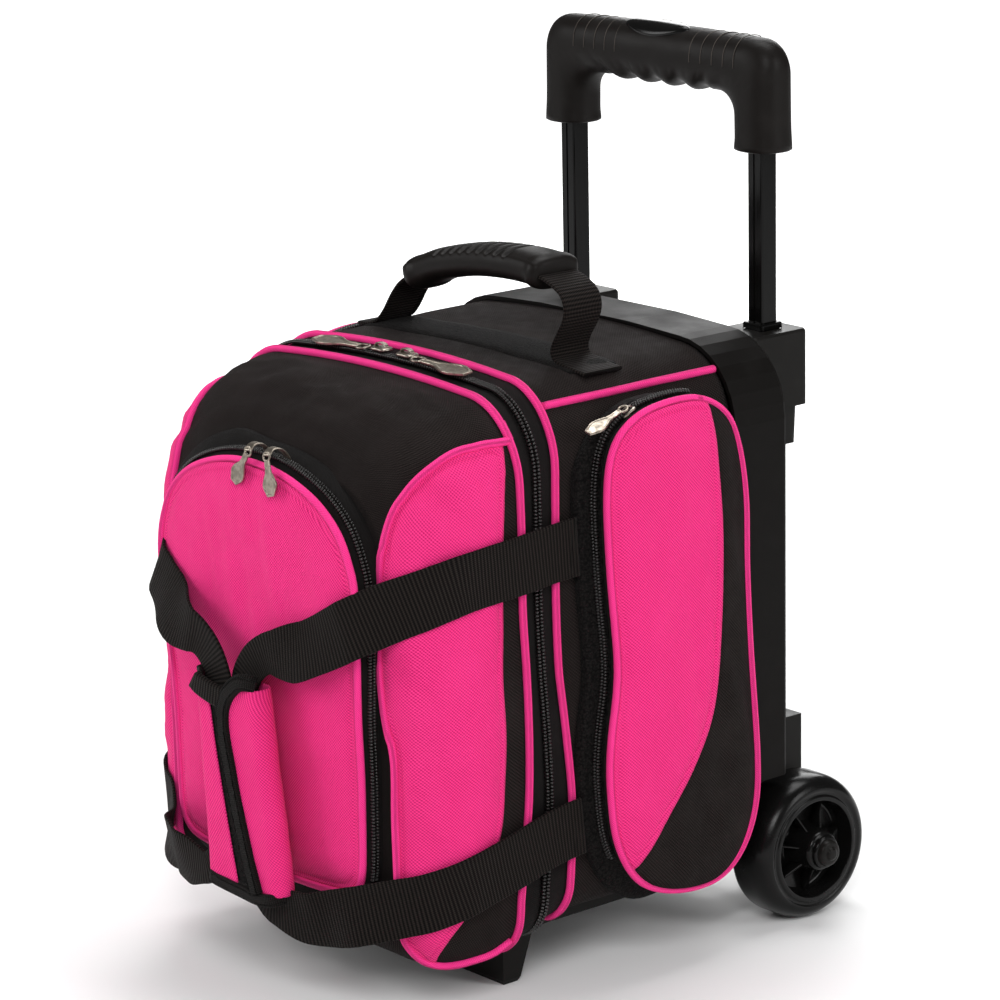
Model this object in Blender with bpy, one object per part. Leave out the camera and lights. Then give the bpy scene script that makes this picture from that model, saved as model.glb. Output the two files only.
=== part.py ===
"""Single-ball roller bag: clamshell fabric bag on a moulded back frame with a
two-stage telescopic handle, two wheels and two front feet.

Metres, +Z up. +X is the width, -Y the front, +Y the back with wheels and handle.
"left" is the -X side and "right" the +X side, seen from the front.
"""
import math

import bpy
from mathutils import Vector

# ---------------------------------------------------------------- dimensions
GAP = 0.0003

WHEEL_RADIUS = 0.0508
WHEEL_Y = 0.170
WHEEL_X = 0.1442
TREAD_HALF = 0.0170
RIM_RADIUS = 0.0397
DISH_RADIUS = 0.0345
AXLE_RADIUS = 0.0040

BODY_HALF = 0.145
BODY_LOW = 0.0455
REAR_TOP = 0.409
REAR_RISE = 0.003
CORNER_TOP = 0.050
CORNER_LOW = 0.030
CROWN = 0.004
FABRIC = 0.004

RIM_REAR_Y = -0.0445
RIM_FRONT_Y = -0.0757
ZIP_PLANE_Y = -0.0600
FRAME_FRONT_Y = 0.1060
FRAME_BACK_Y = 0.1540
FRAME_HALF = 0.150
FRAME_TOP = 0.4145
FRAME_LOW = 0.0365
FRAME_WALL = 0.003

TUBE_X = 0.0951
TUBE_Y = 0.1840
OUTER_HALF = 0.0100
MID_HALF = 0.0085
INNER_HALF = 0.0072
SOCKET_TOP = 0.405
LEG_LOW = 0.5266

GRIP_TOP = 0.6045
GRIP_UNDER = 0.5645
GRIP_HALF = 0.115
GRIP_DEPTH = 0.017
PART_LINE = 0.5765

LID_AXIS = (0.0, -0.0752, 0.0355)
FLAP_AXIS = (0.0, -0.1737, 0.0850)
STRAP_AXIS_X = 0.1515
STRAP_AXIS_Y = -0.0345
SIDE_AXIS_X = 0.1605
SIDE_AXIS_Y = 0.1075
CARRY_AXIS = (0.0, 0.0180, 0.4040)

WEBBING = 0.040
WEBBING_THICK = 0.0024
PIPING = 0.0022

COLLECTION = "bowling_ball_bag"


# ---------------------------------------------------------------- scene set-up
def reset_scene():
    for item in list(bpy.data.objects):
        bpy.data.objects.remove(item, do_unlink=True)
    parts = bpy.data.collections.new(COLLECTION)
    cutters = bpy.data.collections.new("cutters")
    cutters.hide_render = True
    bpy.context.scene.collection.children.link(parts)
    bpy.context.scene.collection.children.link(cutters)
    return parts, cutters


def make_material(name, colour, roughness, metallic):
    material = bpy.data.materials.new(name)
    material.use_nodes = True
    shader = material.node_tree.nodes["Principled BSDF"]
    shader.inputs["Base Color"].default_value = (*colour, 1.0)
    shader.inputs["Roughness"].default_value = roughness
    shader.inputs["Metallic"].default_value = metallic
    material.diffuse_color = (*colour, 1.0)
    return material


def make_materials():
    return {
        "black_fabric": make_material("black_fabric", (0.012, 0.010, 0.010), 0.85, 0.0),
        "pink_fabric": make_material("pink_fabric", (0.86, 0.045, 0.225), 0.75, 0.0),
        "pink_piping": make_material("pink_piping", (0.90, 0.060, 0.260), 0.45, 0.0),
        "black_webbing": make_material("black_webbing", (0.010, 0.009, 0.009), 0.80, 0.0),
        "zip_tape": make_material("zip_tape", (0.008, 0.007, 0.007), 0.70, 0.0),
        "moulded_black": make_material("moulded_black", (0.012, 0.011, 0.010), 0.42, 0.0),
        "soft_grip": make_material("soft_grip", (0.014, 0.013, 0.012), 0.60, 0.0),
        "gloss_black": make_material("gloss_black", (0.006, 0.006, 0.006), 0.15, 0.0),
        "tube_black": make_material("tube_black", (0.005, 0.005, 0.005), 0.18, 0.6),
        "wheel_tread": make_material("wheel_tread", (0.006, 0.006, 0.006), 0.22, 0.0),
        "axle_steel": make_material("axle_steel", (0.50, 0.50, 0.50), 0.30, 1.0),
        "spring_steel": make_material("spring_steel", (0.55, 0.55, 0.55), 0.25, 1.0),
        "pull_metal": make_material("pull_metal", (0.42, 0.37, 0.32), 0.32, 1.0),
        "foam_grey": make_material("foam_grey", (0.09, 0.09, 0.095), 0.95, 0.0),
    }


# ---------------------------------------------------------------- mesh helpers
def add_object(name, vertices, faces, material, origin=(0.0, 0.0, 0.0), collection=None):
    """One mesh object whose origin sits at `origin` (the joint axis of moving pieces)."""
    shift = Vector(origin)
    mesh = bpy.data.meshes.new(name)
    mesh.from_pydata([tuple(Vector(v) - shift) for v in vertices], [], faces)
    mesh.validate()
    mesh.update()
    item = bpy.data.objects.new(name, mesh)
    item.location = shift
    if material is not None:
        mesh.materials.append(material)
    (collection or PARTS).objects.link(item)
    return item


def skin(rings, closed_rings=True, first=0):
    """Quads between successive rings of equal length."""
    count = len(rings[0])
    faces = []
    for level in range(len(rings) - 1):
        low = first + level * count
        high = low + count
        for k in range(count if closed_rings else count - 1):
            following = (k + 1) % count
            faces.append((low + k, low + following, high + following, high + k))
    return faces


def flip(faces):
    return [tuple(reversed(face)) for face in faces]


def volume(vertices, faces):
    total = 0.0
    for face in faces:
        a = Vector(vertices[face[0]])
        for k in range(1, len(face) - 1):
            total += a.dot(Vector(vertices[face[k]]).cross(Vector(vertices[face[k + 1]])))
    return total / 6.0


def outward(vertices, faces):
    return faces if volume(vertices, faces) > 0 else flip(faces)


def solid_loft(name, rings, material, origin=(0.0, 0.0, 0.0), collection=None):
    """Closed body through rings, flat end caps."""
    vertices = [v for ring in rings for v in ring]
    count = len(rings[0])
    faces = skin(rings)
    faces.append(tuple(reversed(range(count))))
    last = (len(rings) - 1) * count
    faces.append(tuple(range(last, last + count)))
    return add_object(name, vertices, outward(vertices, faces), material, origin, collection)


def sleeve_loft(name, outer, inner, material, origin=(0.0, 0.0, 0.0)):
    """Hollow body open at both ends: outer and inner skins with flat end rims."""
    count = len(outer[0])
    vertices = [v for ring in outer for v in ring] + [v for ring in inner for v in ring]
    base = len(outer) * count
    faces = skin(outer) + flip(skin(inner, first=base))
    outer_last = (len(outer) - 1) * count
    inner_last = base + (len(inner) - 1) * count
    for k in range(count):
        following = (k + 1) % count
        faces.append((following, k, base + k, base + following))
        faces.append((outer_last + k, outer_last + following, inner_last + following, inner_last + k))
    return add_object(name, vertices, outward(vertices, faces), material, origin)


def cup_loft(name, outer, inner, material, origin=(0.0, 0.0, 0.0)):
    """Hollow body open at the first ring, closed at the last one."""
    count = len(outer[0])
    vertices = [v for ring in outer for v in ring] + [v for ring in inner for v in ring]
    base = len(outer) * count
    faces = skin(outer) + flip(skin(inner, first=base))
    outer_last = (len(outer) - 1) * count
    inner_last = base + (len(inner) - 1) * count
    for k in range(count):
        following = (k + 1) % count
        faces.append((following, k, base + k, base + following))
    faces.append(tuple(range(outer_last, outer_last + count)))
    faces.append(tuple(reversed(range(inner_last, inner_last + count))))
    return add_object(name, vertices, outward(vertices, faces), material, origin)


def ring_loft(name, rings, material, origin=(0.0, 0.0, 0.0)):
    """Closed loop of sections (the last section joins the first)."""
    count = len(rings[0])
    vertices = [v for ring in rings for v in ring]
    faces = skin(rings)
    last = (len(rings) - 1) * count
    for k in range(count):
        following = (k + 1) % count
        faces.append((last + k, last + following, following, k))
    return add_object(name, vertices, outward(vertices, faces), material, origin)


def box(name, low, high, material, origin=(0.0, 0.0, 0.0), collection=None):
    rings = []
    for z in (low[2], high[2]):
        rings.append([(low[0], low[1], z), (high[0], low[1], z), (high[0], high[1], z), (low[0], high[1], z)])
    return solid_loft(name, rings, material, origin, collection)


def cylinder(name, start, end, radius, segments, material, origin=(0.0, 0.0, 0.0), collection=None):
    start = Vector(start)
    end = Vector(end)
    axis = (end - start).normalized()
    side = axis.orthogonal().normalized()
    up = axis.cross(side)
    rings = []
    for centre in (start, end):
        ring = []
        for k in range(segments):
            angle = 2.0 * math.pi * k / segments
            ring.append(centre + side * (radius * math.cos(angle)) + up * (radius * math.sin(angle)))
        rings.append(ring)
    return solid_loft(name, rings, material, origin, collection)


def lathe_x(name, profile, centre, segments, material, origin):
    """Body of revolution about an axis parallel to X; profile is a closed loop of (x, radius)."""
    rings = []
    for k in range(segments):
        angle = 2.0 * math.pi * k / segments
        ring = []
        for x, radius in profile:
            ring.append((x, centre[1] + radius * math.cos(angle), centre[2] + radius * math.sin(angle)))
        rings.append(ring)
    return ring_loft(name, rings, material, origin)


def lathe_x_capped(name, profile, centre, segments, material, origin):
    """Body of revolution about X with flat discs at both ends of an open (x, radius) profile."""
    rings = []
    for x, radius in profile:
        ring = []
        for k in range(segments):
            angle = 2.0 * math.pi * k / segments
            ring.append((x, centre[1] + radius * math.cos(angle), centre[2] + radius * math.sin(angle)))
        rings.append(ring)
    return solid_loft(name, rings, material, origin)


def boolean(target, cutter, operation="DIFFERENCE"):
    modifier = target.modifiers.new(cutter.name, "BOOLEAN")
    modifier.operation = operation
    modifier.solver = "EXACT"
    modifier.object = cutter
    cutter.display_type = "WIRE"
    cutter.hide_render = True


def side_name(base, sign):
    return base + ("_right" if sign > 0 else "_left")


# ---------------------------------------------------------------- outlines
def rounded_square(half, radius, steps=3):
    points = []
    for quarter in range(4):
        start = math.radians(90.0 * quarter)
        cx = (half - radius) * (1 if quarter in (0, 3) else -1)
        cy = (half - radius) * (1 if quarter in (0, 1) else -1)
        for k in range(steps + 1):
            angle = start + math.radians(90.0) * k / steps
            points.append((cx + radius * math.cos(angle), cy + radius * math.sin(angle)))
    return points


def body_outline(inset=0.0, half=BODY_HALF, low=BODY_LOW, top=REAR_TOP, corner=CORNER_TOP,
                 corner_low=CORNER_LOW, crown=CROWN):
    """Closed (x, z) outline of the fabric body: crowned top, large top corners.

    Starts at the bottom right corner and runs up the right side, over the top and
    down the left side.
    """
    half = half - inset
    low = low + inset
    top = top - inset
    corner = corner - inset
    corner_low = corner_low - inset
    shoulder = top - crown
    points = []
    for k in range(5):
        angle = math.radians(-90.0 + 22.5 * k)
        points.append((half - corner_low + corner_low * math.cos(angle),
                       low + corner_low + corner_low * math.sin(angle)))
    for share in (0.25, 0.5, 0.75):
        z_from = low + corner_low
        z_to = shoulder - corner
        points.append((half, z_from + (z_to - z_from) * share))
    for k in range(7):
        angle = math.radians(15.0 * k)
        points.append((half - corner + corner * math.cos(angle), shoulder - corner + corner * math.sin(angle)))
    flat = half - corner
    for share in (0.6, 0.25):
        points.append((flat * share, top - crown * share * share))
    right = list(points)
    points.extend((-x, z) for x, z in reversed(right))
    return points


def ring_at(y, outline):
    return [(x, y, z) for x, z in outline]


def body_side_x(z, inset=0.0):
    """Outer x of the rear body at height z."""
    half = BODY_HALF - inset
    centre_z = REAR_TOP + REAR_RISE - CROWN - CORNER_TOP
    if z > centre_z:
        reach = (CORNER_TOP - inset) ** 2 - (z - centre_z) ** 2
        return BODY_HALF - CORNER_TOP + math.sqrt(max(reach, 0.0))
    low_z = BODY_LOW + CORNER_LOW
    if z < low_z:
        reach = (CORNER_LOW - inset) ** 2 - (z - low_z) ** 2
        return BODY_HALF - CORNER_LOW + math.sqrt(max(reach, 0.0))
    return half


def smooth_path(points, steps):
    """Catmull-Rom through the points (open path)."""
    points = [Vector(p) for p in points]
    ends = [points[0] * 2 - points[1]] + points + [points[-1] * 2 - points[-2]]
    result = []
    for k in range(1, len(ends) - 2):
        a, b, c, d = ends[k - 1], ends[k], ends[k + 1], ends[k + 2]
        for step in range(steps):
            t = step / steps
            result.append(0.5 * ((2 * b) + (c - a) * t + (2 * a - 5 * b + 4 * c - d) * t * t
                                 + (3 * b - a - 3 * c + d) * t * t * t))
    result.append(points[-1])
    return result


def smooth_loop(points, steps):
    """Catmull-Rom through the points (closed path)."""
    points = [Vector(p) for p in points]
    count = len(points)
    result = []
    for k in range(count):
        a, b, c, d = points[k - 1], points[k], points[(k + 1) % count], points[(k + 2) % count]
        for step in range(steps):
            t = step / steps
            result.append(0.5 * ((2 * b) + (c - a) * t + (2 * a - 5 * b + 4 * c - d) * t * t
                                 + (3 * b - a - 3 * c + d) * t * t * t))
    return result


def offset_loop(points, distance):
    """Move every 2D point of a counter-clockwise loop outward by `distance`."""
    count = len(points)
    result = []
    for k in range(count):
        before = Vector(points[k - 1]).to_2d()
        here = Vector(points[k]).to_2d()
        after = Vector(points[(k + 1) % count]).to_2d()
        tangent = (after - before).normalized()
        result.append(here + Vector((tangent.y, -tangent.x)) * distance)
    return result


def sweep(name, path, sideways, section, material, origin, closed=False):
    """Section (u, v) carried along a path; u runs along `sideways`, v across it."""
    rings = []
    count = len(path)
    for k, point in enumerate(path):
        before = path[k - 1] if (k > 0 or closed) else path[k]
        after = path[(k + 1) % count] if (k < count - 1 or closed) else path[k]
        tangent = (Vector(after) - Vector(before)).normalized()
        u_axis = Vector(sideways[k])
        u_axis = (u_axis - tangent * u_axis.dot(tangent)).normalized()
        v_axis = tangent.cross(u_axis)
        rings.append([Vector(point) + u_axis * u + v_axis * v for u, v in section])
    if closed:
        return ring_loft(name, rings, material, origin)
    return solid_loft(name, rings, material, origin)


def round_section(radius, count=6):
    return [(radius * math.cos(2.0 * math.pi * k / count), radius * math.sin(2.0 * math.pi * k / count))
            for k in range(count)]


def strip_section(half_width, half_thick):
    return [(-half_width, -half_thick), (half_width, -half_thick), (half_width, half_thick),
            (-half_width, half_thick)]


# ---------------------------------------------------------------- rolling gear
def build_wheel(sign):
    centre = (0.0, WHEEL_Y, WHEEL_RADIUS)
    origin = (sign * WHEEL_X, WHEEL_Y, WHEEL_RADIUS)
    half = TREAD_HALF

    def across(values):
        return [(sign * (WHEEL_X + x), radius) for x, radius in values]

    tread = across([(-half, RIM_RADIUS + GAP), (half, RIM_RADIUS + GAP), (half, 0.0462), (half - 0.0012, 0.0489),
                    (half - 0.0045, WHEEL_RADIUS), (-half + 0.0045, WHEEL_RADIUS), (-half + 0.0012, 0.0489),
                    (-half, 0.0462)])
    lathe_x(side_name("tyre", sign), tread, centre, 40, MAT["wheel_tread"], origin)

    dish = across([(-half, DISH_RADIUS), (-half, RIM_RADIUS), (half, RIM_RADIUS), (half, DISH_RADIUS + 0.0012),
                   (half - 0.0012, DISH_RADIUS), (0.0055, DISH_RADIUS - 0.0010), (0.0035, 0.0300), (0.0035, 0.0125),
                   (half - 0.0040, 0.0112), (half - 0.0030, 0.0100), (half - 0.0030, AXLE_RADIUS + GAP),
                   (-half + 0.0010, AXLE_RADIUS + GAP), (-half + 0.0010, 0.0110), (-0.0005, 0.0125),
                   (-0.0005, 0.0300), (-0.0015, DISH_RADIUS - 0.0010)])
    rim = lathe_x(side_name("wheel_rim", sign), dish, centre, 40, MAT["gloss_black"], origin)
    blades = []
    for k in range(7):
        angle = 2.0 * math.pi * k / 7
        direction = Vector((0.0, math.cos(angle), math.sin(angle)))
        across_blade = Vector((0.0, -math.sin(angle), math.cos(angle)))
        hub = Vector((0.0, WHEEL_Y, WHEEL_RADIUS))
        rings = []
        for x, inner, outer in ((0.0025, 0.0105, 0.0350), (0.0090, 0.0105, 0.0350), (half - 0.0045, 0.0105, 0.0300)):
            ring = []
            for radius, off in ((inner, -0.0010), (outer, -0.0010), (outer, 0.0010), (inner, 0.0010)):
                point = hub + direction * radius + across_blade * off
                point.x = sign * (WHEEL_X + x)
                ring.append(point)
            rings.append(ring)
        blade = solid_loft(side_name("rib_cutter_%d" % k, sign), rings, None, origin, CUTTERS)
        blades.append(blade)
    for blade in blades:
        boolean(rim, blade, "UNION")

    cap = [(sign * x, radius) for x, radius in ((0.1588, 0.0088), (0.1618, 0.0092), (0.1630, 0.0082),
                                                 (0.1632, 0.0056), (0.1668, 0.0052), (0.1682, 0.0038))]
    lathe_x_capped(side_name("hub_cap", sign), cap, centre, 24, MAT["gloss_black"], origin)


def build_axle():
    cylinder("axle", (-0.1582, WHEEL_Y, WHEEL_RADIUS), (0.1582, WHEEL_Y, WHEEL_RADIUS), AXLE_RADIUS, 24,
             MAT["axle_steel"])


def build_lower_bracket(sign):
    low = (sign * 0.0780 if sign > 0 else -0.1165, FRAME_BACK_Y + GAP, 0.0320)
    high = (0.1165 if sign > 0 else -0.0780, 0.2000, 0.1320)
    bracket = box(side_name("lower_bracket", sign), low, high, MAT["moulded_black"])
    reach = OUTER_HALF + GAP
    pocket = box(side_name("bracket_pocket", sign),
                 (sign * TUBE_X - reach, TUBE_Y - reach, 0.0600), (sign * TUBE_X + reach, TUBE_Y + reach, 0.1400),
                 None, collection=CUTTERS)
    bore = cylinder(side_name("bracket_bore", sign), (sign * 0.060, WHEEL_Y, WHEEL_RADIUS),
                    (sign * 0.130, WHEEL_Y, WHEEL_RADIUS), AXLE_RADIUS + GAP, 24, None, collection=CUTTERS)
    boolean(bracket, pocket)
    boolean(bracket, bore)


def build_foot(sign):
    rings = []
    for x_in, x_out, y_front, y_back, z in ((0.0660, 0.1100, -0.0700, -0.0580, 0.0000),
                                            (0.0650, 0.1110, -0.0710, -0.0560, 0.0030),
                                            (0.0620, 0.1130, -0.0728, -0.0460, 0.0364)):
        rings.append([(sign * x_in, y_front, z), (sign * x_out, y_front, z), (sign * x_out, y_back, z),
                      (sign * x_in, y_back, z)])
    solid_loft(side_name("front_foot", sign), rings, MAT["moulded_black"])


def build_base_board():
    box("base_board", (-0.1150, -0.0720, 0.0367), (0.1150, 0.1057, BODY_LOW - GAP), MAT["moulded_black"])


def frame_outline(inset):
    half = FRAME_HALF - inset
    top = FRAME_TOP - inset
    corner = 0.055 - inset
    arch_x = 0.1180 - inset
    arch_z = 0.1060 + inset
    low = FRAME_LOW + inset
    points = [(arch_x, low), (arch_x, arch_z), (half, arch_z), (half, 0.23)]
    for k in range(9):
        angle = math.radians(90.0 * k / 8)
        points.append((half - corner + corner * math.cos(angle), top - 0.003 - corner + corner * math.sin(angle)))
    points.append((0.045, top - 0.0006))
    right = list(points)
    points.extend((-x, z) for x, z in reversed(right))
    return points


def build_back_frame():
    outer = [ring_at(FRAME_FRONT_Y, frame_outline(0.0)), ring_at(FRAME_BACK_Y - 0.0030, frame_outline(0.0)),
             ring_at(FRAME_BACK_Y - 0.0009, frame_outline(0.0009)), ring_at(FRAME_BACK_Y, frame_outline(0.0028))]
    inner = [ring_at(FRAME_FRONT_Y, frame_outline(FRAME_WALL)),
             ring_at(FRAME_BACK_Y - FRAME_WALL, frame_outline(FRAME_WALL))]
    cup_loft("back_frame", outer, inner, MAT["moulded_black"])


# ---------------------------------------------------------------- telescopic handle
def square_ring(sign, z, half, radius, steps=3):
    return [(sign * TUBE_X + u, TUBE_Y + v, z) for u, v in rounded_square(half, radius, steps)]


def build_socket(sign):
    def block(z, x_in, x_out, y_back):
        ring = []
        for u, v in rounded_square(1.0, 0.14, 3):
            x = (x_in + x_out) / 2 + u * (x_out - x_in) / 2
            y = (FRAME_BACK_Y + GAP + y_back) / 2 + v * (y_back - FRAME_BACK_Y - GAP) / 2
            ring.append((sign * x, y, z))
        return ring

    outer = [block(0.3250, 0.0790, 0.1110, 0.1998), block(0.3520, 0.0780, 0.1120, 0.2005),
             block(0.3523, 0.0730, 0.1170, 0.2055), block(0.4030, 0.0730, 0.1170, 0.2055),
             block(SOCKET_TOP, 0.0740, 0.1160, 0.2045)]
    reach = OUTER_HALF + GAP
    inner = []
    for z in (0.3250, SOCKET_TOP):
        inner.append([(sign * (TUBE_X + u), TUBE_Y + v, z) for u, v in rounded_square(reach, 0.0022, 3)])
    sleeve_loft(side_name("tube_socket", sign), outer, inner, MAT["moulded_black"])


def build_outer_tube(sign):
    outer = [square_ring(sign, z, OUTER_HALF, 0.0022) for z in (0.0605, 0.4047)]
    inner = [square_ring(sign, z, OUTER_HALF - 0.0012, 0.0012) for z in (0.0605, 0.4047)]
    sleeve_loft(side_name("outer_tube", sign), outer, inner, MAT["tube_black"])


def build_mid_tube(sign):
    levels = ((0.0850, MID_HALF), (0.4052, MID_HALF), (0.4054, 0.0099), (0.4085, 0.0099), (0.4095, 0.0092))
    outer = [square_ring(sign, z, half, 0.0018) for z, half in levels]
    inner = [square_ring(sign, z, MID_HALF - 0.0010, 0.0010) for z in (0.0850, 0.4095)]
    sleeve_loft(side_name("mid_tube", sign), outer, inner, MAT["tube_black"],
                (sign * TUBE_X, TUBE_Y, 0.0850))


def grooved_square(half, radius, groove, depth):
    """Rounded square with a groove in its -Y face."""
    points = rounded_square(half, radius, 3)
    extra = [(-groove, -half), (-groove, -half + depth), (groove, -half + depth), (groove, -half)]
    return points[:12] + extra + points[12:]


def build_inner_tube(sign):
    levels = (0.2003, 0.2100, 0.2200, 0.5670)
    outer_outline = grooved_square(INNER_HALF, 0.0018, 0.0012, 0.0007)
    inner_half = INNER_HALF - 0.0012
    plain = rounded_square(inner_half, 0.0010, 3)
    inner_outline = plain[:12] + [(-0.0022, -inner_half), (-0.0007, -inner_half), (0.0007, -inner_half),
                                  (0.0022, -inner_half)] + plain[12:]
    outer = [[(sign * TUBE_X + u, TUBE_Y + v, z) for u, v in outer_outline] for z in levels]
    inner = [[(sign * TUBE_X + u, TUBE_Y + v, z) for u, v in inner_outline] for z in levels]
    tube = sleeve_loft(side_name("inner_tube", sign), outer, inner, MAT["tube_black"],
                       (sign * TUBE_X, TUBE_Y, 0.2003))
    wall = sign * (TUBE_X + 0.0070)
    hole = box(side_name("pin_hole", sign), (wall - 0.0030, TUBE_Y - 0.0028, 0.2122),
               (wall + 0.0030, TUBE_Y + 0.0028, 0.2178), None, collection=CUTTERS)
    boolean(tube, hole)


def build_lock_pin(sign):
    cylinder(side_name("lock_pin", sign), (sign * (TUBE_X + 0.0027), TUBE_Y, 0.2150),
             (sign * (TUBE_X + 0.0071), TUBE_Y, 0.2150), 0.0025, 16, MAT["axle_steel"],
             (sign * TUBE_X, TUBE_Y, 0.2150))


def grip_outline(inset):
    """Closed (x, z) outline of the inverted-U grip, shrunk by `inset`."""
    half = GRIP_HALF - inset
    inner_half = 0.0765 + inset
    under = GRIP_UNDER + inset
    leg = LEG_LOW + min(inset, 0.0012)
    shoulder = 0.0235 - inset
    arch = 0.0200 + inset
    crest = GRIP_TOP - inset
    drop = 0.0045
    points = [(inner_half, leg), (half, leg)]
    centre_x = half - shoulder
    centre_z = crest - drop - shoulder
    for k in range(7):
        angle = math.radians(15.0 * k)
        points.append((centre_x + shoulder * math.cos(angle), centre_z + shoulder * math.sin(angle)))
    for share in (0.75, 0.5, 0.25):
        x = centre_x * share
        points.append((x, crest - drop * share * share))
    left_top = [(-x, z) for x, z in reversed(points)]
    outline = points + [(0.0, crest)] + left_top
    centre_x = inner_half - arch
    for k in range(7):
        angle = math.radians(180.0 - 15.0 * k)
        outline.append((-centre_x + arch * math.cos(angle), under - arch + arch * math.sin(angle)))
    for k in range(9):
        x = -0.044 + 0.011 * k
        bump = 0.0010 * math.cos(math.pi * k)
        outline.append((x, under - bump))
    for k in range(7):
        angle = math.radians(90.0 - 15.0 * k)
        outline.append((centre_x + arch * math.cos(angle), under - arch + arch * math.sin(angle)))
    return outline


def build_grip_blank(name):
    rings = []
    for share, inset in ((-1.0, 0.0085), (-0.86, 0.0042), (-0.62, 0.0013), (-0.3, 0.0), (0.3, 0.0),
                         (0.62, 0.0013), (0.86, 0.0042), (1.0, 0.0085)):
        rings.append([(x, TUBE_Y + share * GRIP_DEPTH, z) for x, z in grip_outline(inset)])
    return solid_loft(name, rings, MAT["soft_grip"], (0.0, TUBE_Y, LEG_LOW))


def ellipse_prism(name, half_x, half_y, low, high):
    rings = []
    for z in (low, high):
        rings.append([(half_x * math.cos(2.0 * math.pi * k / 32), TUBE_Y + half_y * math.sin(2.0 * math.pi * k / 32),
                       z) for k in range(32)])
    return solid_loft(name, rings, None, collection=CUTTERS)


def build_grip():
    upper = build_grip_blank("grip_upper_shell")
    below = box("cut_below", (-0.2, TUBE_Y - 0.05, 0.50), (0.2, TUBE_Y + 0.05, PART_LINE), None, collection=CUTTERS)
    boolean(upper, below)
    boolean(upper, ellipse_prism("cut_button", 0.0315 + GAP, 0.0115 + GAP, 0.5855, 0.6200))
    boolean(upper, ellipse_prism("cut_stem", 0.0126 + GAP, 0.0046 + GAP, 0.5700, 0.5870))
    bar_slot = box("cut_bar_slot", (-0.1000, TUBE_Y - 0.0035, 0.5700), (0.1000, TUBE_Y + 0.0035, 0.5806), None,
                   collection=CUTTERS)
    boolean(upper, bar_slot)

    lower = build_grip_blank("grip_lower_shell")
    above = box("cut_above", (-0.2, TUBE_Y - 0.05, PART_LINE - GAP), (0.2, TUBE_Y + 0.05, 0.65), None,
                collection=CUTTERS)
    boolean(lower, above)
    travel = box("cut_travel", (-0.1000, TUBE_Y - 0.0035, 0.5720), (0.1000, TUBE_Y + 0.0035, 0.5900), None,
                 collection=CUTTERS)
    boolean(lower, travel)
    for sign in (1, -1):
        reach = INNER_HALF + GAP
        boolean(lower, box(side_name("cut_leg", sign), (sign * TUBE_X - reach, TUBE_Y - reach, 0.5200),
                           (sign * TUBE_X + reach, TUBE_Y + reach, 0.5673), None, collection=CUTTERS))
        boolean(lower, box(side_name("cut_rod", sign), (sign * TUBE_X - 0.0028, TUBE_Y - 0.0028, 0.5600),
                           (sign * TUBE_X + 0.0028, TUBE_Y + 0.0028, 0.5800), None, collection=CUTTERS))
    boolean(lower, cylinder("cut_spring", (0.0, TUBE_Y, 0.5672), (0.0, TUBE_Y, 0.5900), 0.0054, 24, None,
                            collection=CUTTERS))


def build_release():
    levels = ((0.5803, 0.40), (0.5898, 0.40), (0.5900, 1.00), (0.6040, 1.00), (0.6058, 0.86), (0.6066, 0.50))
    rings = []
    for z, scale in levels:
        rings.append([(0.0315 * scale * math.cos(2.0 * math.pi * k / 32),
                       TUBE_Y + 0.0115 * scale * math.sin(2.0 * math.pi * k / 32), z) for k in range(32)])
    solid_loft("release_button", rings, MAT["moulded_black"], (0.0, TUBE_Y, 0.5900))

    outline = [(-0.0966, 0.2225), (-0.0936, 0.2225), (-0.0936, 0.5766), (0.0936, 0.5766), (0.0936, 0.2225),
               (0.0966, 0.2225), (0.0966, 0.5800), (-0.0966, 0.5800)]
    rings = [[(x, TUBE_Y + y, z) for x, z in outline] for y in (-0.0015, 0.0015)]
    solid_loft("release_yoke", rings, MAT["axle_steel"], (0.0, TUBE_Y, 0.5766))

    turns = 3.5
    steps = 35
    path = []
    sideways = []
    for k in range(steps + 1):
        angle = 2.0 * math.pi * turns * k / steps
        z = 0.5682 + 0.0074 * k / steps
        path.append((0.0042 * math.cos(angle), TUBE_Y + 0.0042 * math.sin(angle), z))
        sideways.append((math.cos(angle), math.sin(angle), 0.0))
    sweep("button_spring", path, sideways, round_section(0.0004), MAT["spring_steel"], (0.0, TUBE_Y, 0.5676))


# ---------------------------------------------------------------- fabric bodies
def build_rear_body():
    outer = []
    inner = []
    for y, rise in ((RIM_REAR_Y, 0.0), (0.030, REAR_RISE / 2), (FRAME_FRONT_Y - GAP, REAR_RISE)):
        outer.append(ring_at(y, body_outline(0.0, top=REAR_TOP + rise)))
        inner.append(ring_at(y, body_outline(FABRIC, top=REAR_TOP + rise)))
    sleeve_loft("rear_body_shell", outer, inner, MAT["black_fabric"])


LID_LEVELS = (
    (RIM_FRONT_Y, 0.1450, 0.0365, 0.4040, 0.050),
    (-0.1000, 0.1460, 0.0362, 0.4010, 0.052),
    (-0.1250, 0.1430, 0.0370, 0.3930, 0.056),
    (-0.1420, 0.1370, 0.0400, 0.3820, 0.060),
    (-0.1550, 0.1280, 0.0480, 0.3690, 0.060),
    (-0.1640, 0.1150, 0.0620, 0.3580, 0.058),
)


def build_front_body():
    outer = []
    inner = []
    for y, half, low, top, corner in LID_LEVELS:
        outer.append(ring_at(y, body_outline(0.0, half, low, top, corner)))
        back = y if y == RIM_FRONT_Y else y + FABRIC * 0.9
        inner.append(ring_at(back, body_outline(FABRIC, half, low, top, corner)))
    cup_loft("front_body_shell", outer, inner, MAT["black_fabric"], LID_AXIS)


def half_loop(outline, low_z):
    """The part of the body outline above low_z: right side, top, left side."""
    return [point for point in outline if point[1] >= low_z]


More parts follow.
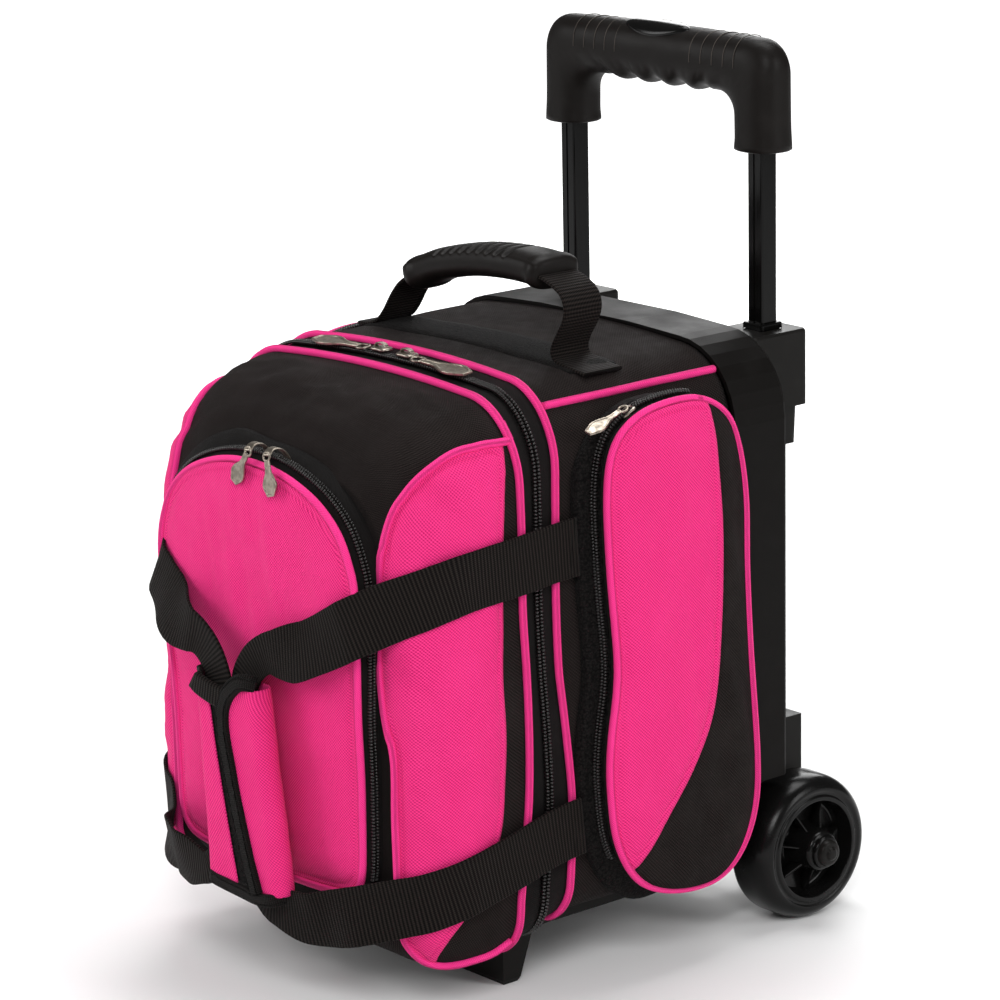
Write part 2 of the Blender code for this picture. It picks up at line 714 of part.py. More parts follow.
def build_rim_band(name, y_from, y_to, top, low_z, origin):
    """Zipper tape: a thin band over both sides and the top."""
    outer = half_loop(body_outline(0.0010, top=top), low_z)
    inner = half_loop(body_outline(0.0030, top=top), low_z)
    rings = []
    for (x0, z0), (x1, z1) in zip(outer, inner):
        rings.append([(x0, y_from, z0), (x0, y_to, z0), (x1, y_to, z1), (x1, y_from, z1)])
    return solid_loft(name, rings, MAT["zip_tape"], origin)


def build_rim_piping(name, y, half, low, top, low_z, origin):
    outline = half_loop(body_outline(-PIPING - GAP, half=half, low=low, top=top), low_z)
    path = [(x, y, z) for x, z in outline]
    sideways = [(0.0, 1.0, 0.0)] * len(path)
    return sweep(name, path, sideways, round_section(PIPING, 8), MAT["pink_piping"], origin)


def build_main_zipper():
    build_rim_band("rear_zipper_tape", ZIP_PLANE_Y + GAP, RIM_REAR_Y - GAP, REAR_TOP, 0.060, (0.0, 0.0, 0.0))
    build_rim_band("front_zipper_tape", RIM_FRONT_Y + GAP, ZIP_PLANE_Y - GAP, 0.4065, 0.060, LID_AXIS)
    build_rim_piping("rear_rim_piping", RIM_REAR_Y + PIPING, BODY_HALF, BODY_LOW, REAR_TOP + 0.0002, 0.060,
                     (0.0, 0.0, 0.0))
    build_rim_piping("front_rim_piping", RIM_FRONT_Y - PIPING, BODY_HALF + 0.0002, 0.0365, 0.4040, 0.060,
                     LID_AXIS)


def pocket_arch(inset):
    """Front pocket outline (x, z), counter-clockwise from the bottom left."""
    half = 0.1075 - inset
    low = 0.0870 + inset
    points = [(-half + 0.012, low), (0.0, low), (half - 0.012, low), (half - 0.0035, low + 0.0035),
              (half, low + 0.012), (half, 0.150), (half, 0.210), (half - 0.0005, 0.262)]
    for angle in (20.0, 38.0, 54.0, 68.0, 80.0):
        turn = math.radians(angle)
        points.append((half * math.cos(turn) ** 0.85, 0.262 + (0.0920 - inset) * math.sin(turn) ** 1.0))
    points.append((0.0, 0.3540 - inset))
    for angle in (80.0, 68.0, 54.0, 38.0, 20.0):
        turn = math.radians(angle)
        points.append((-half * math.cos(turn) ** 0.85, 0.262 + (0.0920 - inset) * math.sin(turn) ** 1.0))
    points.extend([(-half + 0.0005, 0.262), (-half, 0.210), (-half, 0.150), (-half, low + 0.012),
                   (-half + 0.0035, low + 0.0035)])
    return points


def build_front_pocket():
    outer = [ring_at(y, pocket_arch(0.0)) for y in (-0.1643, -0.1734)]
    inner = [ring_at(y, pocket_arch(0.0030)) for y in (-0.1643, -0.1734)]
    sleeve_loft("front_pocket_gusset", outer, inner, MAT["zip_tape"], LID_AXIS)

    front = [ring_at(-0.1737, pocket_arch(0.0)), ring_at(-0.1768, pocket_arch(0.0012)),
             ring_at(-0.1806, pocket_arch(0.0140)), ring_at(-0.1832, pocket_arch(0.0380))]
    back = [ring_at(-0.1737, pocket_arch(0.0030)), ring_at(-0.1750, pocket_arch(0.0050)),
            ring_at(-0.1782, pocket_arch(0.0160)), ring_at(-0.1806, pocket_arch(0.0380))]
    cup_loft("front_pocket_flap", front, back, MAT["pink_fabric"], FLAP_AXIS)

    loop = offset_loop([(x, z) for x, z in pocket_arch(0.0)], PIPING + GAP)
    path = [(p.x, -0.1762, p.y) for p in loop]
    sideways = [(0.0, 1.0, 0.0)] * len(path)
    sweep("front_pocket_piping", path, sideways, round_section(PIPING, 8), MAT["pink_piping"], FLAP_AXIS,
          closed=True)


SIDE_POINTS = ((0.060, 0.3900), (0.030, 0.3920), (0.004, 0.3840), (-0.014, 0.3680), (-0.0240, 0.3420),
               (-0.0250, 0.3000), (-0.0230, 0.2550), (-0.0210, 0.2050), (-0.0250, 0.1650), (-0.0265, 0.1350),
               (-0.0210, 0.1020), (0.0000, 0.0720), (0.0340, 0.0570), (0.0700, 0.0570), (0.0930, 0.0720),
               (0.1035, 0.0960), (0.1050, 0.1300), (0.1045, 0.1730), (0.1040, 0.2150), (0.1030, 0.2710),
               (0.1010, 0.3130), (0.0950, 0.3500), (0.0820, 0.3780))


def side_outline(inset):
    loop = [(p.x, p.y) for p in smooth_loop([(y, z, 0.0) for y, z in SIDE_POINTS], 2)]
    return offset_loop(loop, -inset)


def build_side_pocket(sign):
    def ring(x, inset):
        return [(sign * x, p.x, p.y) for p in side_outline(inset)]

    def base_ring(inset):
        return [(sign * (body_side_x(p.y) + 0.0004), p.x, p.y) for p in side_outline(inset)]

    axis = (sign * SIDE_AXIS_X, SIDE_AXIS_Y, 0.2200)
    sleeve_loft(side_name("side_pocket_gusset", sign), [base_ring(0.0), ring(0.1600, 0.0)],
                [base_ring(0.0030), ring(0.1600, 0.0030)], MAT["zip_tape"])
    outer = [ring(0.1603, 0.0), ring(0.1615, -0.0016), ring(0.1645, -0.0016), ring(0.1660, 0.0010),
             ring(0.1690, 0.0120), ring(0.1712, 0.0280)]
    inner = [ring(0.1603, 0.0030), ring(0.1612, 0.0032), ring(0.1630, 0.0036), ring(0.1640, 0.0050),
             ring(0.1666, 0.0140), ring(0.1688, 0.0280)]
    cup_loft(side_name("side_pocket_flap", sign), outer, inner, MAT["pink_fabric"], axis)


def build_ball_cup():
    cup = box("ball_cup", (-0.1000, -0.0400, BODY_LOW + FABRIC + GAP), (0.1000, 0.1040, 0.0820), MAT["foam_grey"])
    centre = Vector((0.0, 0.0320, 0.0560 + 0.1085))
    rings = []
    for k in range(1, 12):
        polar = math.pi * k / 12
        rings.append([centre + 0.1085 * Vector((math.sin(polar) * math.cos(2.0 * math.pi * j / 32),
                                                math.sin(polar) * math.sin(2.0 * math.pi * j / 32),
                                                -math.cos(polar))) for j in range(32)])
    ball = solid_loft("ball_clearance", rings, None, collection=CUTTERS)
    boolean(cup, ball)


# ---------------------------------------------------------------- carry handle
def carry_path(count):
    """Arch of the top handle above its sewn ends, from left to right."""
    points = [(-0.1230, 0.4035), (-0.1150, 0.4140), (-0.1020, 0.4290), (-0.0820, 0.4450), (-0.0580, 0.4560),
              (-0.0280, 0.4625), (0.0, 0.4640), (0.0280, 0.4625), (0.0580, 0.4560), (0.0820, 0.4450),
              (0.1020, 0.4290), (0.1150, 0.4140), (0.1230, 0.4035)]
    return smooth_path([(x, 0.0180, z) for x, z in points], count)


def build_carry_handle():
    path = carry_path(2)
    sideways = [(0.0, 1.0, 0.0)] * len(path)
    sweep("carry_webbing", path, sideways, strip_section(0.0160, 0.0013), MAT["black_webbing"], CARRY_AXIS)

    def frames(section_for):
        rings = []
        chosen = [k for k, point in enumerate(path) if abs(point.x) <= 0.0721]
        for k in chosen:
            tangent = (path[k + 1] - path[k - 1]).normalized()
            u_axis = Vector((0.0, 1.0, 0.0))
            v_axis = tangent.cross(u_axis)
            rings.append([path[k] + u_axis * u + v_axis * v for u, v in section_for(path[k])])
        return rings

    def outer_section(point):
        swell = 1.0 + 0.10 * math.cos(math.pi * point.x / 0.145)
        result = []
        for u, v in rounded_square(1.0, 0.62, 3):
            result.append((u * 0.0190 * swell, v * 0.0105 * swell + 0.0012))
        return result

    def inner_section(point):
        return [(u * 0.0165, v * 0.0018) for u, v in rounded_square(1.0, 0.10, 3)]

    sleeve_loft("carry_grip", frames(outer_section), frames(inner_section), MAT["soft_grip"], CARRY_AXIS)


# ---------------------------------------------------------------- web straps
def strap_stations(sign):
    """Centre line, width direction for one duffel strap: side, front corner, centre, back round."""
    depth = -0.2005 if sign > 0 else -0.2062
    top = [((STRAP_AXIS_X, STRAP_AXIS_Y, 0.3030), (0, 0, 1)), ((STRAP_AXIS_X, -0.0850, 0.2990), (0, 0, 1)),
           ((0.1500, -0.1180, 0.2930), (0, 0, 1)), ((0.1430, -0.1480, 0.2860), (0, 0, 1)),
           ((0.1300, -0.1730, 0.2760), (0, 0, 1)), ((0.1100, -0.1905, 0.2650), (0, 0, 1)),
           ((0.0800, depth + 0.0050, 0.2520), (0, 0, 1))]
    middle = []
    for k in range(7):
        angle = math.radians(90.0 + 15.0 * k)
        direction = (math.cos(angle), 0, math.sin(angle))
        middle.append(((0.0530 + 0.0400 * math.cos(angle), depth, 0.2020 + 0.0400 * math.sin(angle)), direction))
    middle.append(((0.0130, depth, 0.1500), (-1, 0, 0)))
    for k in range(7):
        angle = math.radians(180.0 + 15.0 * k)
        direction = (math.cos(angle), 0, math.sin(angle))
        middle.append(((0.0530 + 0.0400 * math.cos(angle), depth, 0.1000 + 0.0400 * math.sin(angle)), direction))
    low = [((0.0800, depth + 0.0050, 0.0640), (0, 0, -1)), ((0.1100, -0.1905, 0.0710), (0, 0, -1)),
           ((0.1300, -0.1730, 0.0780), (0, 0, -1)), ((0.1430, -0.1480, 0.0860), (0, 0, -1)),
           ((0.1500, -0.1180, 0.0950), (0, 0, -1)), ((STRAP_AXIS_X, -0.0850, 0.1030), (0, 0, -1)),
           ((STRAP_AXIS_X, STRAP_AXIS_Y, 0.1140), (0, 0, -1))]
    stations = top + middle + low
    path = [Vector((sign * p[0], p[1], p[2])) for p, _ in stations]
    sideways = [Vector((sign * w[0], w[1], w[2])) for _, w in stations]
    return path, sideways


def build_strap(sign):
    path, sideways = strap_stations(sign)
    sweep(side_name("strap", sign), path, sideways, strip_section(WEBBING / 2, WEBBING_THICK / 2),
          MAT["black_webbing"], (sign * STRAP_AXIS_X, STRAP_AXIS_Y, 0.2085))


def build_hand_wrap():
    """Padded wrap closed round both straps, its overlap opening to +X."""
    front = -0.2120
    back = -0.1955
    thick = 0.0028
    inside = [(0.0380, front), (-0.0330, front), (-0.0375, front + 0.0025), (-0.0390, (front + back) / 2),
              (-0.0375, back - 0.0025), (-0.0330, back), (0.0380, back)]
    outside = [(0.0380, back + thick), (-0.0350, back + thick), (-0.0405, back + 0.0010),
               (-0.0420, (front + back) / 2), (-0.0405, front - 0.0010), (-0.0350, front - thick),
               (0.0380, front - thick)]
    outline = inside + outside
    rings = [[(x, y, z) for x, y in outline] for z in (0.0880, 0.2040)]
    solid_loft("hand_wrap", rings, MAT["pink_fabric"], (-STRAP_AXIS_X, STRAP_AXIS_Y, 0.1460))


# ---------------------------------------------------------------- zipper hardware
def build_slider(name, centre, along, normal, length, width, height, origin):
    """Small bridge-shaped slider: a tapered block lying on the zipper with a loop bump."""
    along = Vector(along)
    normal = Vector(normal)
    across = along.cross(normal)
    centre = Vector(centre)
    rings = []
    for level, scale in ((0.0, 1.0), (height * 0.45, 1.0), (height * 0.62, 0.55), (height, 0.40)):
        ring = []
        for u, v in rounded_square(1.0, 0.35, 2):
            ring.append(centre + along * (u * scale * length / 2) + across * (v * scale * width / 2)
                        + normal * level)
        rings.append(ring)
    return solid_loft(name, rings, MAT["pull_metal"], origin)


def build_pull(name, hinge, direction, normal, length, width, thick):
    """Flat tapered pull tab running from its hinge along `direction`."""
    direction = Vector(direction)
    normal = Vector(normal)
    across = direction.cross(normal)
    hinge = Vector(hinge)
    profile = [(0.02, 0.36), (0.14, 0.34), (0.30, 0.46), (0.48, 0.86), (0.66, 1.00), (0.80, 0.84), (0.88, 0.66),
               (1.00, 0.34)]
    edge = [(share * length, half * width / 2) for share, half in profile]
    outline = edge + [(run, -half) for run, half in reversed(edge)]
    rings = []
    for level in (-thick / 2, thick / 2):
        rings.append([hinge + direction * run + across * half + normal * level for run, half in outline])
    return solid_loft(name, rings, MAT["pull_metal"], hinge)


def build_hooked_pull(name, x, hinge_y, hinge_z):
    """Pull whose link reaches forward over the piping before the tab hangs down."""
    path = [(x, hinge_y, hinge_z), (x, hinge_y - 0.0060, hinge_z + 0.0016), (x, hinge_y - 0.0115, hinge_z + 0.0006),
            (x, hinge_y - 0.0142, hinge_z - 0.0040), (x, hinge_y - 0.0150, hinge_z - 0.0140),
            (x, hinge_y - 0.0170, hinge_z - 0.0300), (x, hinge_y - 0.0176, hinge_z - 0.0360)]
    sideways = [(1.0, 0.0, 0.0)] * len(path)
    return sweep(name, path, sideways, strip_section(0.0045, 0.0008), MAT["pull_metal"], (x, hinge_y, hinge_z))


def build_zipper_hardware():
    top_z = REAR_TOP
    for sign, x in ((1, 0.0120), (-1, -0.0150)):
        centre = (x, ZIP_PLANE_Y, top_z + 0.0008)
        build_slider(side_name("main_slider", sign), centre, (1, 0, 0), (0, 0, 1), 0.0150, 0.0110, 0.0056, centre)
        hinge = (x + sign * 0.0100, ZIP_PLANE_Y, top_z + 0.0042)
        build_pull(side_name("main_pull", sign), hinge, (sign, 0, 0), (0, 0, 1), 0.0600, 0.0150, 0.0018)

    for sign, x in ((1, 0.0240), (-1, -0.0090)):
        centre = (x, -0.1690, 0.3543)
        build_slider(side_name("front_slider", sign), centre, (1, 0, 0), (0, 0, 1), 0.0100, 0.0068, 0.0056, FLAP_AXIS)
        build_hooked_pull(side_name("front_pull", sign), x, -0.1695, 0.3612)

    for sign in (1, -1):
        centre = (sign * 0.1560, 0.0030, 0.3848)
        axis = (sign * SIDE_AXIS_X, SIDE_AXIS_Y, 0.2200)
        along, outwards = (0, 0.878, 0.479), (0, -0.479, 0.878)
        build_slider(side_name("side_slider", sign), centre, along, outwards, 0.0110, 0.0064, 0.0042, axis)
        hinge = (sign * 0.1560, 0.0004, 0.3902)
        build_pull(side_name("side_pull", sign), hinge, (0, -0.943, -0.333), (0, -0.333, 0.943), 0.0330, 0.0100, 0.0016)


# ---------------------------------------------------------------- assembly
def build_all():
    build_back_frame()
    build_base_board()
    build_axle()
    for sign in (1, -1):
        build_foot(sign)
        build_wheel(sign)
        build_lower_bracket(sign)
        build_socket(sign)
        build_outer_tube(sign)
        build_mid_tube(sign)
        build_inner_tube(sign)
        build_lock_pin(sign)
    build_grip()
    build_release()
    build_rear_body()
    build_front_body()
    build_main_zipper()
    build_front_pocket()
    for sign in (1, -1):
        build_side_pocket(sign)
        build_strap(sign)
    build_ball_cup()
    build_carry_handle()
    build_hand_wrap()
    build_zipper_hardware()


PARTS, CUTTERS = reset_scene()
MAT = make_materials()
build_all()
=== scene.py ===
import math

import bmesh
import bpy
from mathutils import Matrix, Vector, noise
from mathutils.bvhtree import BVHTree
from mathutils.geometry import delaunay_2d_cdt


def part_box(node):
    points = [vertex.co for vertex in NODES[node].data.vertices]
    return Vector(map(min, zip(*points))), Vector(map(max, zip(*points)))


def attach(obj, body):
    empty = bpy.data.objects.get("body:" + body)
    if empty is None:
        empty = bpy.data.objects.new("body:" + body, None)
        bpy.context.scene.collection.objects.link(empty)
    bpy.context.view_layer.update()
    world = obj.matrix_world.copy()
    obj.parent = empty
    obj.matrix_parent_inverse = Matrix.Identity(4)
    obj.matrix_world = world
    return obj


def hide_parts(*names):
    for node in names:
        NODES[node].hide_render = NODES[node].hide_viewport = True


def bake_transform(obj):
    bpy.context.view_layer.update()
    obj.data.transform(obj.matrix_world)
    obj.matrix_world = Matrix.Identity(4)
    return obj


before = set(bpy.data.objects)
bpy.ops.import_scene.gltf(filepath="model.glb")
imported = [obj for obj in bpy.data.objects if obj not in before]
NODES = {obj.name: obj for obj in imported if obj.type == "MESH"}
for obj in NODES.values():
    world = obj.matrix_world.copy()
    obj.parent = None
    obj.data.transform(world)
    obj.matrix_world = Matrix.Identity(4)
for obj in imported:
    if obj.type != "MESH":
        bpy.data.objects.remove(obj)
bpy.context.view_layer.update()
SIDES = ((1, "right"), (-1, "left"))

# Camera fitted to the photograph's viewing angle.
CAMERA_AZIMUTH = math.radians(49.75)
CAMERA_ELEVATION = math.radians(14.29)
CAMERA_ROLL = math.radians(-1.07)
CAMERA_DISTANCE = 2.8174
CAMERA_SIDE = 0.0211
CAMERA_UP = 0.2899
CAMERA_LENS = 146.1

# Planes and sizes shared by the fabric pieces, in metres.
RIM_REAR_Y = -0.0445
RIM_FRONT_Y = -0.0757
ZIP_Y = -0.0600
FRAME_FRONT_Y = 0.1057
REAR_TOP = 0.409
BODY_HALF = 0.145
BODY_LOW = 0.0455
FRONT_TOP, FRONT_LOW, FRONT_NOSE_Y = 0.404, 0.0335, -0.1640
CORNER_TOP, CORNER_LOW, CROWN = 0.050, 0.030, 0.004
RING = 176
TAPE_GAP = 0.0006
PIPE = 0.0027
WEB = 0.0197
WEB_HALF_THICK = 0.00115


# ---------------------------------------------------------------- numbers and curves
def clamp(t):
    return max(0.0, min(1.0, t))


def smoothstep(t):
    t = clamp(t)
    return t * t * (3.0 - 2.0 * t)


def curve_through(points, per_span, closed=False):
    """Catmull-Rom curve through the points, `per_span` steps between neighbours."""
    pts = [Vector(p) for p in points]
    count = len(pts)
    result = []
    for k in range(count if closed else count - 1):
        if closed:
            a, b, c, d = (pts[(k + i) % count] for i in (-1, 0, 1, 2))
        else:
            b, c = pts[k], pts[k + 1]
            a = pts[k - 1] if k else b * 2 - c
            d = pts[k + 2] if k + 2 < count else c * 2 - b
        for step in range(per_span):
            t = step / per_span
            result.append(0.5 * (b * 2 + (c - a) * t + (a * 2 - b * 5 + c * 4 - d) * t * t
                                 + (b * 3 - a - c * 3 + d) * t ** 3))
    if not closed:
        result.append(pts[-1])
    return result


def heading(path, k):
    """Unit direction of an open path at its point k."""
    return (path[min(k + 1, len(path) - 1)] - path[max(k - 1, 0)]).normalized()


def bulged(value, power):
    """A sine or cosine pushed outwards, which turns a circle into a rounded square."""
    return math.copysign(abs(value) ** power, value)


def turn_of(k, count):
    """Angle, cosine and sine of step k of `count` round a full turn."""
    angle = 2 * math.pi * k / count
    return angle, math.cos(angle), math.sin(angle)


def even(points, step=None, count=None, closed=False):
    """The same line with evenly spaced points, either `count` of them or one each `step` metres."""
    pts = [Vector(p) for p in points]
    if closed:
        pts = pts + [pts[0]]
    run = [0.0]
    for a, b in zip(pts, pts[1:]):
        run.append(run[-1] + (b - a).length)
    total = run[-1]
    if count is None:
        count = max(3, round(total / step) + (0 if closed else 1))
    gaps = count if closed else count - 1
    result, k = [], 0
    for i in range(count):
        want = total * i / gaps
        while k < len(pts) - 2 and run[k + 1] < want:
            k += 1
        span = run[k + 1] - run[k]
        result.append(pts[k].lerp(pts[k + 1], (want - run[k]) / span if span else 0.0))
    return result


def table(rows, x):
    """Smooth value from (x, value, ...) rows in rising x; a tuple when rows hold several values."""
    if x <= rows[0][0]:
        found = rows[0][1:]
    elif x >= rows[-1][0]:
        found = rows[-1][1:]
    else:
        k = max(i for i, row in enumerate(rows) if row[0] <= x)
        k = min(k, len(rows) - 2)
        span = rows[k + 1][0] - rows[k][0]
        t = (x - rows[k][0]) / span
        found = []
        for j in range(1, len(rows[k])):
            b, c = rows[k][j], rows[k + 1][j]
            a = rows[k - 1][j] if k else 2 * b - c
            d = rows[k + 2][j] if k + 2 < len(rows) else 2 * c - b
            found.append(0.5 * (2 * b + (c - a) * t + (2 * a - 5 * b + 4 * c - d) * t * t
                                + (3 * b - a - 3 * c + d) * t ** 3))
    return found[0] if len(found) == 1 else tuple(found)


# ---------------------------------------------------------------- meshes
def piece(name, verts, faces, material, body, flat=None, smooth=True):
    """A named mesh that rides on a CAD body. `flat` holds each vertex's place on the cut cloth."""
    mesh = bpy.data.meshes.new(name)
    mesh.from_pydata([tuple(v) for v in verts], [], faces)
    mesh.update()
    if flat is not None:
        layer = mesh.attributes.new("flat", "FLOAT_VECTOR", "POINT")
        layer.data.foreach_set("vector", [c for f in flat for c in (f[0], f[1], 0.0)])
    if smooth:
        mesh.shade_smooth()
    obj = bpy.data.objects.new(name, mesh)
    bpy.context.scene.collection.objects.link(obj)
    mesh.materials.append(material)
    if body:
        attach(obj, body)
    return obj


def grid_faces(rows, cols, closed_cols=False, closed_rows=False):
    faces = []
    for r in range(rows if closed_rows else rows - 1):
        for c in range(cols if closed_cols else cols - 1):
            a, b = r * cols + c, r * cols + (c + 1) % cols
            d, e = (r + 1) % rows * cols + c, (r + 1) % rows * cols + (c + 1) % cols
            faces.append((a, b, e, d))
    return faces


def tidy_normals(obj):
    work = bmesh.new()
    work.from_mesh(obj.data)
    bmesh.ops.recalc_face_normals(work, faces=work.faces)
    work.to_mesh(obj.data)
    work.free()
    obj.data.update()


def modifier(obj, kind, **values):
    item = obj.modifiers.new(kind.lower(), kind)
    for key, value in values.items():
        setattr(item, key, value)
    return item


def sweep(name, path, across, section, material, body, closed=False, scale=None, smooth=True):
    """Closed section (u, v) carried along a path. `across` gives the u direction at each point."""
    count, verts, flat, run = len(path), [], [], 0.0
    girth = [0.0]
    ring = list(section) + [section[0]]
    for a, b in zip(ring, ring[1:]):
        girth.append(girth[-1] + math.hypot(b[0] - a[0], b[1] - a[1]))
    for k, point in enumerate(path):
        if closed:
            tangent = (path[(k + 1) % count] - path[k - 1]).normalized()
        else:
            tangent = heading(path, k)
        u = Vector(across[k])
        u = (u - tangent * u.dot(tangent)).normalized()
        v = tangent.cross(u)
        if k:
            run += (point - path[k - 1]).length
        su, sv = scale(k / (count - 1)) if scale else (1.0, 1.0)
        for j, (a, b) in enumerate(section):
            verts.append(point + u * (a * su) + v * (b * sv))
            flat.append((run, girth[j]))
    size = len(section)
    faces = grid_faces(count, size, closed_cols=True, closed_rows=closed)
    if not closed:
        faces.append(tuple(range(size)))
        faces.append(tuple(range((count - 1) * size + size - 1, (count - 1) * size - 1, -1)))
    obj = piece(name, verts, faces, material, body, flat, smooth)
    tidy_normals(obj)
    return obj


def circle(radius, count=10):
    return [(radius * c, radius * s) for _, c, s in (turn_of(k, count) for k in range(count))]


def slab(half_width, half_thick, steps=3):
    """Flat section with rounded edges, for webbing and tape."""
    points = []
    for side in (1, -1):
        for k in range(2 * steps + 1):
            angle = math.radians(-90 + 180.0 * k / (2 * steps))
            points.append((side * (half_width - half_thick + half_thick * math.cos(angle)),
                           side * half_thick * math.sin(angle)))
        for k in range(1, 6):
            points.append((side * half_width * (1 - k / 3), side * half_thick))
    return points


def wrinkle(point, size, strength, seed=0.0):
    """Gentle folds: noise that is the same each run."""
    p = Vector((point[0] / size + seed, point[1] / size, point[2] / size))
    return strength * (noise.noise(p) + 0.5 * noise.noise(p * 2.1))


def patch(name, outline, to_space, material, body, spacing=0.005, puff=0.003, edge=0.020, lift=0.0006,
          folds=None, thick=0.0010, hull=None, groove=True):
    """Cloth panel inside a closed 2D outline, laid on a surface by `to_space(u, v)` -> (place, normal).

    It rises from `lift` at the edge of `hull` by up to `puff`, within `edge` metres, with a sewn groove inside its
    own edge.
    """
    rim = [Vector((p[0], p[1])) for p in outline]
    around = [Vector((p[0], p[1])) for p in (hull or outline)]
    low_u, high_u = min(p.x for p in rim), max(p.x for p in rim)
    low_v, high_v = min(p.y for p in rim), max(p.y for p in rim)
    count = len(rim)
    segments = [(rim[k], rim[(k + 1) % count]) for k in range(count)]
    outer = [(around[k], around[(k + 1) % len(around)]) for k in range(len(around))]

    def distance(p, lines):
        best = 1.0
        for a, b in lines:
            ab = b - a
            t = clamp((p - a).dot(ab) / max(ab.length_squared, 1e-12))
            best = min(best, (p - a - ab * t).length_squared)
        return math.sqrt(best)

    def inside(p):
        odd = False
        for a, b in segments:
            if (a.y > p.y) != (b.y > p.y) and p.x < (b.x - a.x) * (p.y - a.y) / (b.y - a.y) + a.x:
                odd = not odd
        return odd

    points = list(rim)
    if groove:
        for k in range(count):
            along = (rim[(k + 1) % count] - rim[k - 1]).normalized()
            for turn in (1, -1):
                side = Vector((-along.y, along.x)) * turn
                if inside(rim[k] + side * 0.002):
                    points += [p for p in (rim[k] + side * d for d in (0.0033, 0.0046, 0.0059))
                               if inside(p) and abs(distance(p, segments) - (p - rim[k]).length) < 0.0005]
    clear = 0.0072 if groove else spacing * 0.55
    for r in range(int((high_v - low_v) / (spacing * 0.866)) + 2):
        for c in range(int((high_u - low_u) / spacing) + 2):
            p = Vector((low_u + (c + 0.5 * (r % 2)) * spacing, low_v + r * spacing * 0.866))
            if inside(p) and distance(p, segments) > clear:
                points.append(p)
    found, _, faces, _, _, _ = delaunay_2d_cdt(points, [(k, (k + 1) % count) for k in range(count)],
                                               [list(range(count))], 1, 1e-7)
    verts = []
    for p in found:
        place, normal = to_space(p.x, p.y)
        rise = lift + puff * math.sin(0.5 * math.pi * clamp(distance(p, outer) / edge))
        own = distance(p, segments)
        if groove:
            rise -= 0.0011 * math.exp(-((own - 0.0046) / 0.0007) ** 2)
        if folds:
            rise += folds(p.x, p.y) * smoothstep(own / 0.012)
        verts.append(place + normal * rise)
    obj = piece(name, verts, [tuple(f) for f in faces], material, body, found)
    middle = sum(found, Vector((0.0, 0.0))) / len(found)
    _, normal = to_space(middle.x, middle.y)
    if sum(f.normal.dot(normal) for f in obj.data.polygons) < 0:
        obj.data.flip_normals()
    if thick:
        modifier(obj, "SOLIDIFY", thickness=thick, offset=-1.0)
    return obj


# ---------------------------------------------------------------- materials
class Look:
    """A Principled material and short ways to add nodes to it."""

    def __init__(self, name, colour, roughness, metallic=0.0, **sockets):
        self.material = bpy.data.materials.new(name)
        self.material.use_nodes = True
        self.tree = self.material.node_tree
        self.shader = self.tree.nodes["Principled BSDF"]
        self.set("Base Color", (*colour, 1.0))
        self.set("Roughness", roughness)
        self.set("Metallic", metallic)
        for key, value in sockets.items():
            self.set(key.replace("_", " "), value)
        self.material.diffuse_color = (*colour, 1.0)

    def set(self, socket, value):
        self.shader.inputs[socket].default_value = value

    def node(self, kind, inputs=(), **values):
        item = self.tree.nodes.new(kind)
        for key, value in values.items():
            setattr(item, key, value)
        for socket, value in dict(inputs).items():
            if isinstance(value, bpy.types.NodeSocket):
                self.tree.links.new(value, item.inputs[socket])
            else:
                item.inputs[socket].default_value = value
        return item

    def link(self, source, socket):
        self.tree.links.new(source, self.shader.inputs[socket])

    def cloth(self):
        """Place on the cut cloth, in metres."""
        return self.node("ShaderNodeAttribute", attribute_name="flat").outputs["Vector"]

    def place(self):
        return self.node("ShaderNodeTexCoord").outputs["Object"]

    def turned(self, vector, angle=0.0, scale=(1.0, 1.0, 1.0)):
        return self.node("ShaderNodeMapping", {"Vector": vector, "Rotation": (0.0, 0.0, angle), "Scale": scale}
                         ).outputs["Vector"]

    def bands(self, vector, pitch, direction="X", distortion=0.0, detail=0.0):
        scale = (0.31416 if direction != "DIAGONAL" else 0.44429) / pitch
        return self.node("ShaderNodeTexWave", {"Vector": vector, "Scale": scale, "Distortion": distortion,
                                               "Detail": detail, "Detail Scale": 1.0},
                         bands_direction=direction).outputs["Fac"]

    def noise(self, vector, size, detail=2.0):
        return self.node("ShaderNodeTexNoise", {"Vector": vector, "Scale": 1.0 / size, "Detail": detail}
                         ).outputs["Fac"]

    def math(self, operation, a, b=0.0):
        return self.node("ShaderNodeMath", {0: a, 1: b}, operation=operation).outputs[0]

    def ramp(self, factor, low, high, first=0.0, last=1.0):
        item = self.node("ShaderNodeMapRange", {"Value": factor, "From Min": first, "From Max": last,
                                                "To Min": low, "To Max": high})
        return item.outputs["Result"]

    def blend(self, factor, a, b):
        def colour(c):
            return c if isinstance(c, bpy.types.NodeSocket) else (*c, 1.0)
        item = self.node("ShaderNodeMix", data_type="RGBA")
        for index, value in ((0, factor), (6, colour(a)), (7, colour(b))):
            if isinstance(value, bpy.types.NodeSocket):
                self.tree.links.new(value, item.inputs[index])
            else:
                item.inputs[index].default_value = value
        return item.outputs[2]

    def bump(self, height, depth, strength=1.0, under=None):
        inputs = {"Height": height, "Distance": depth, "Strength": strength}
        if under is not None:
            inputs["Normal"] = under
        return self.node("ShaderNodeBump", inputs).outputs["Normal"]


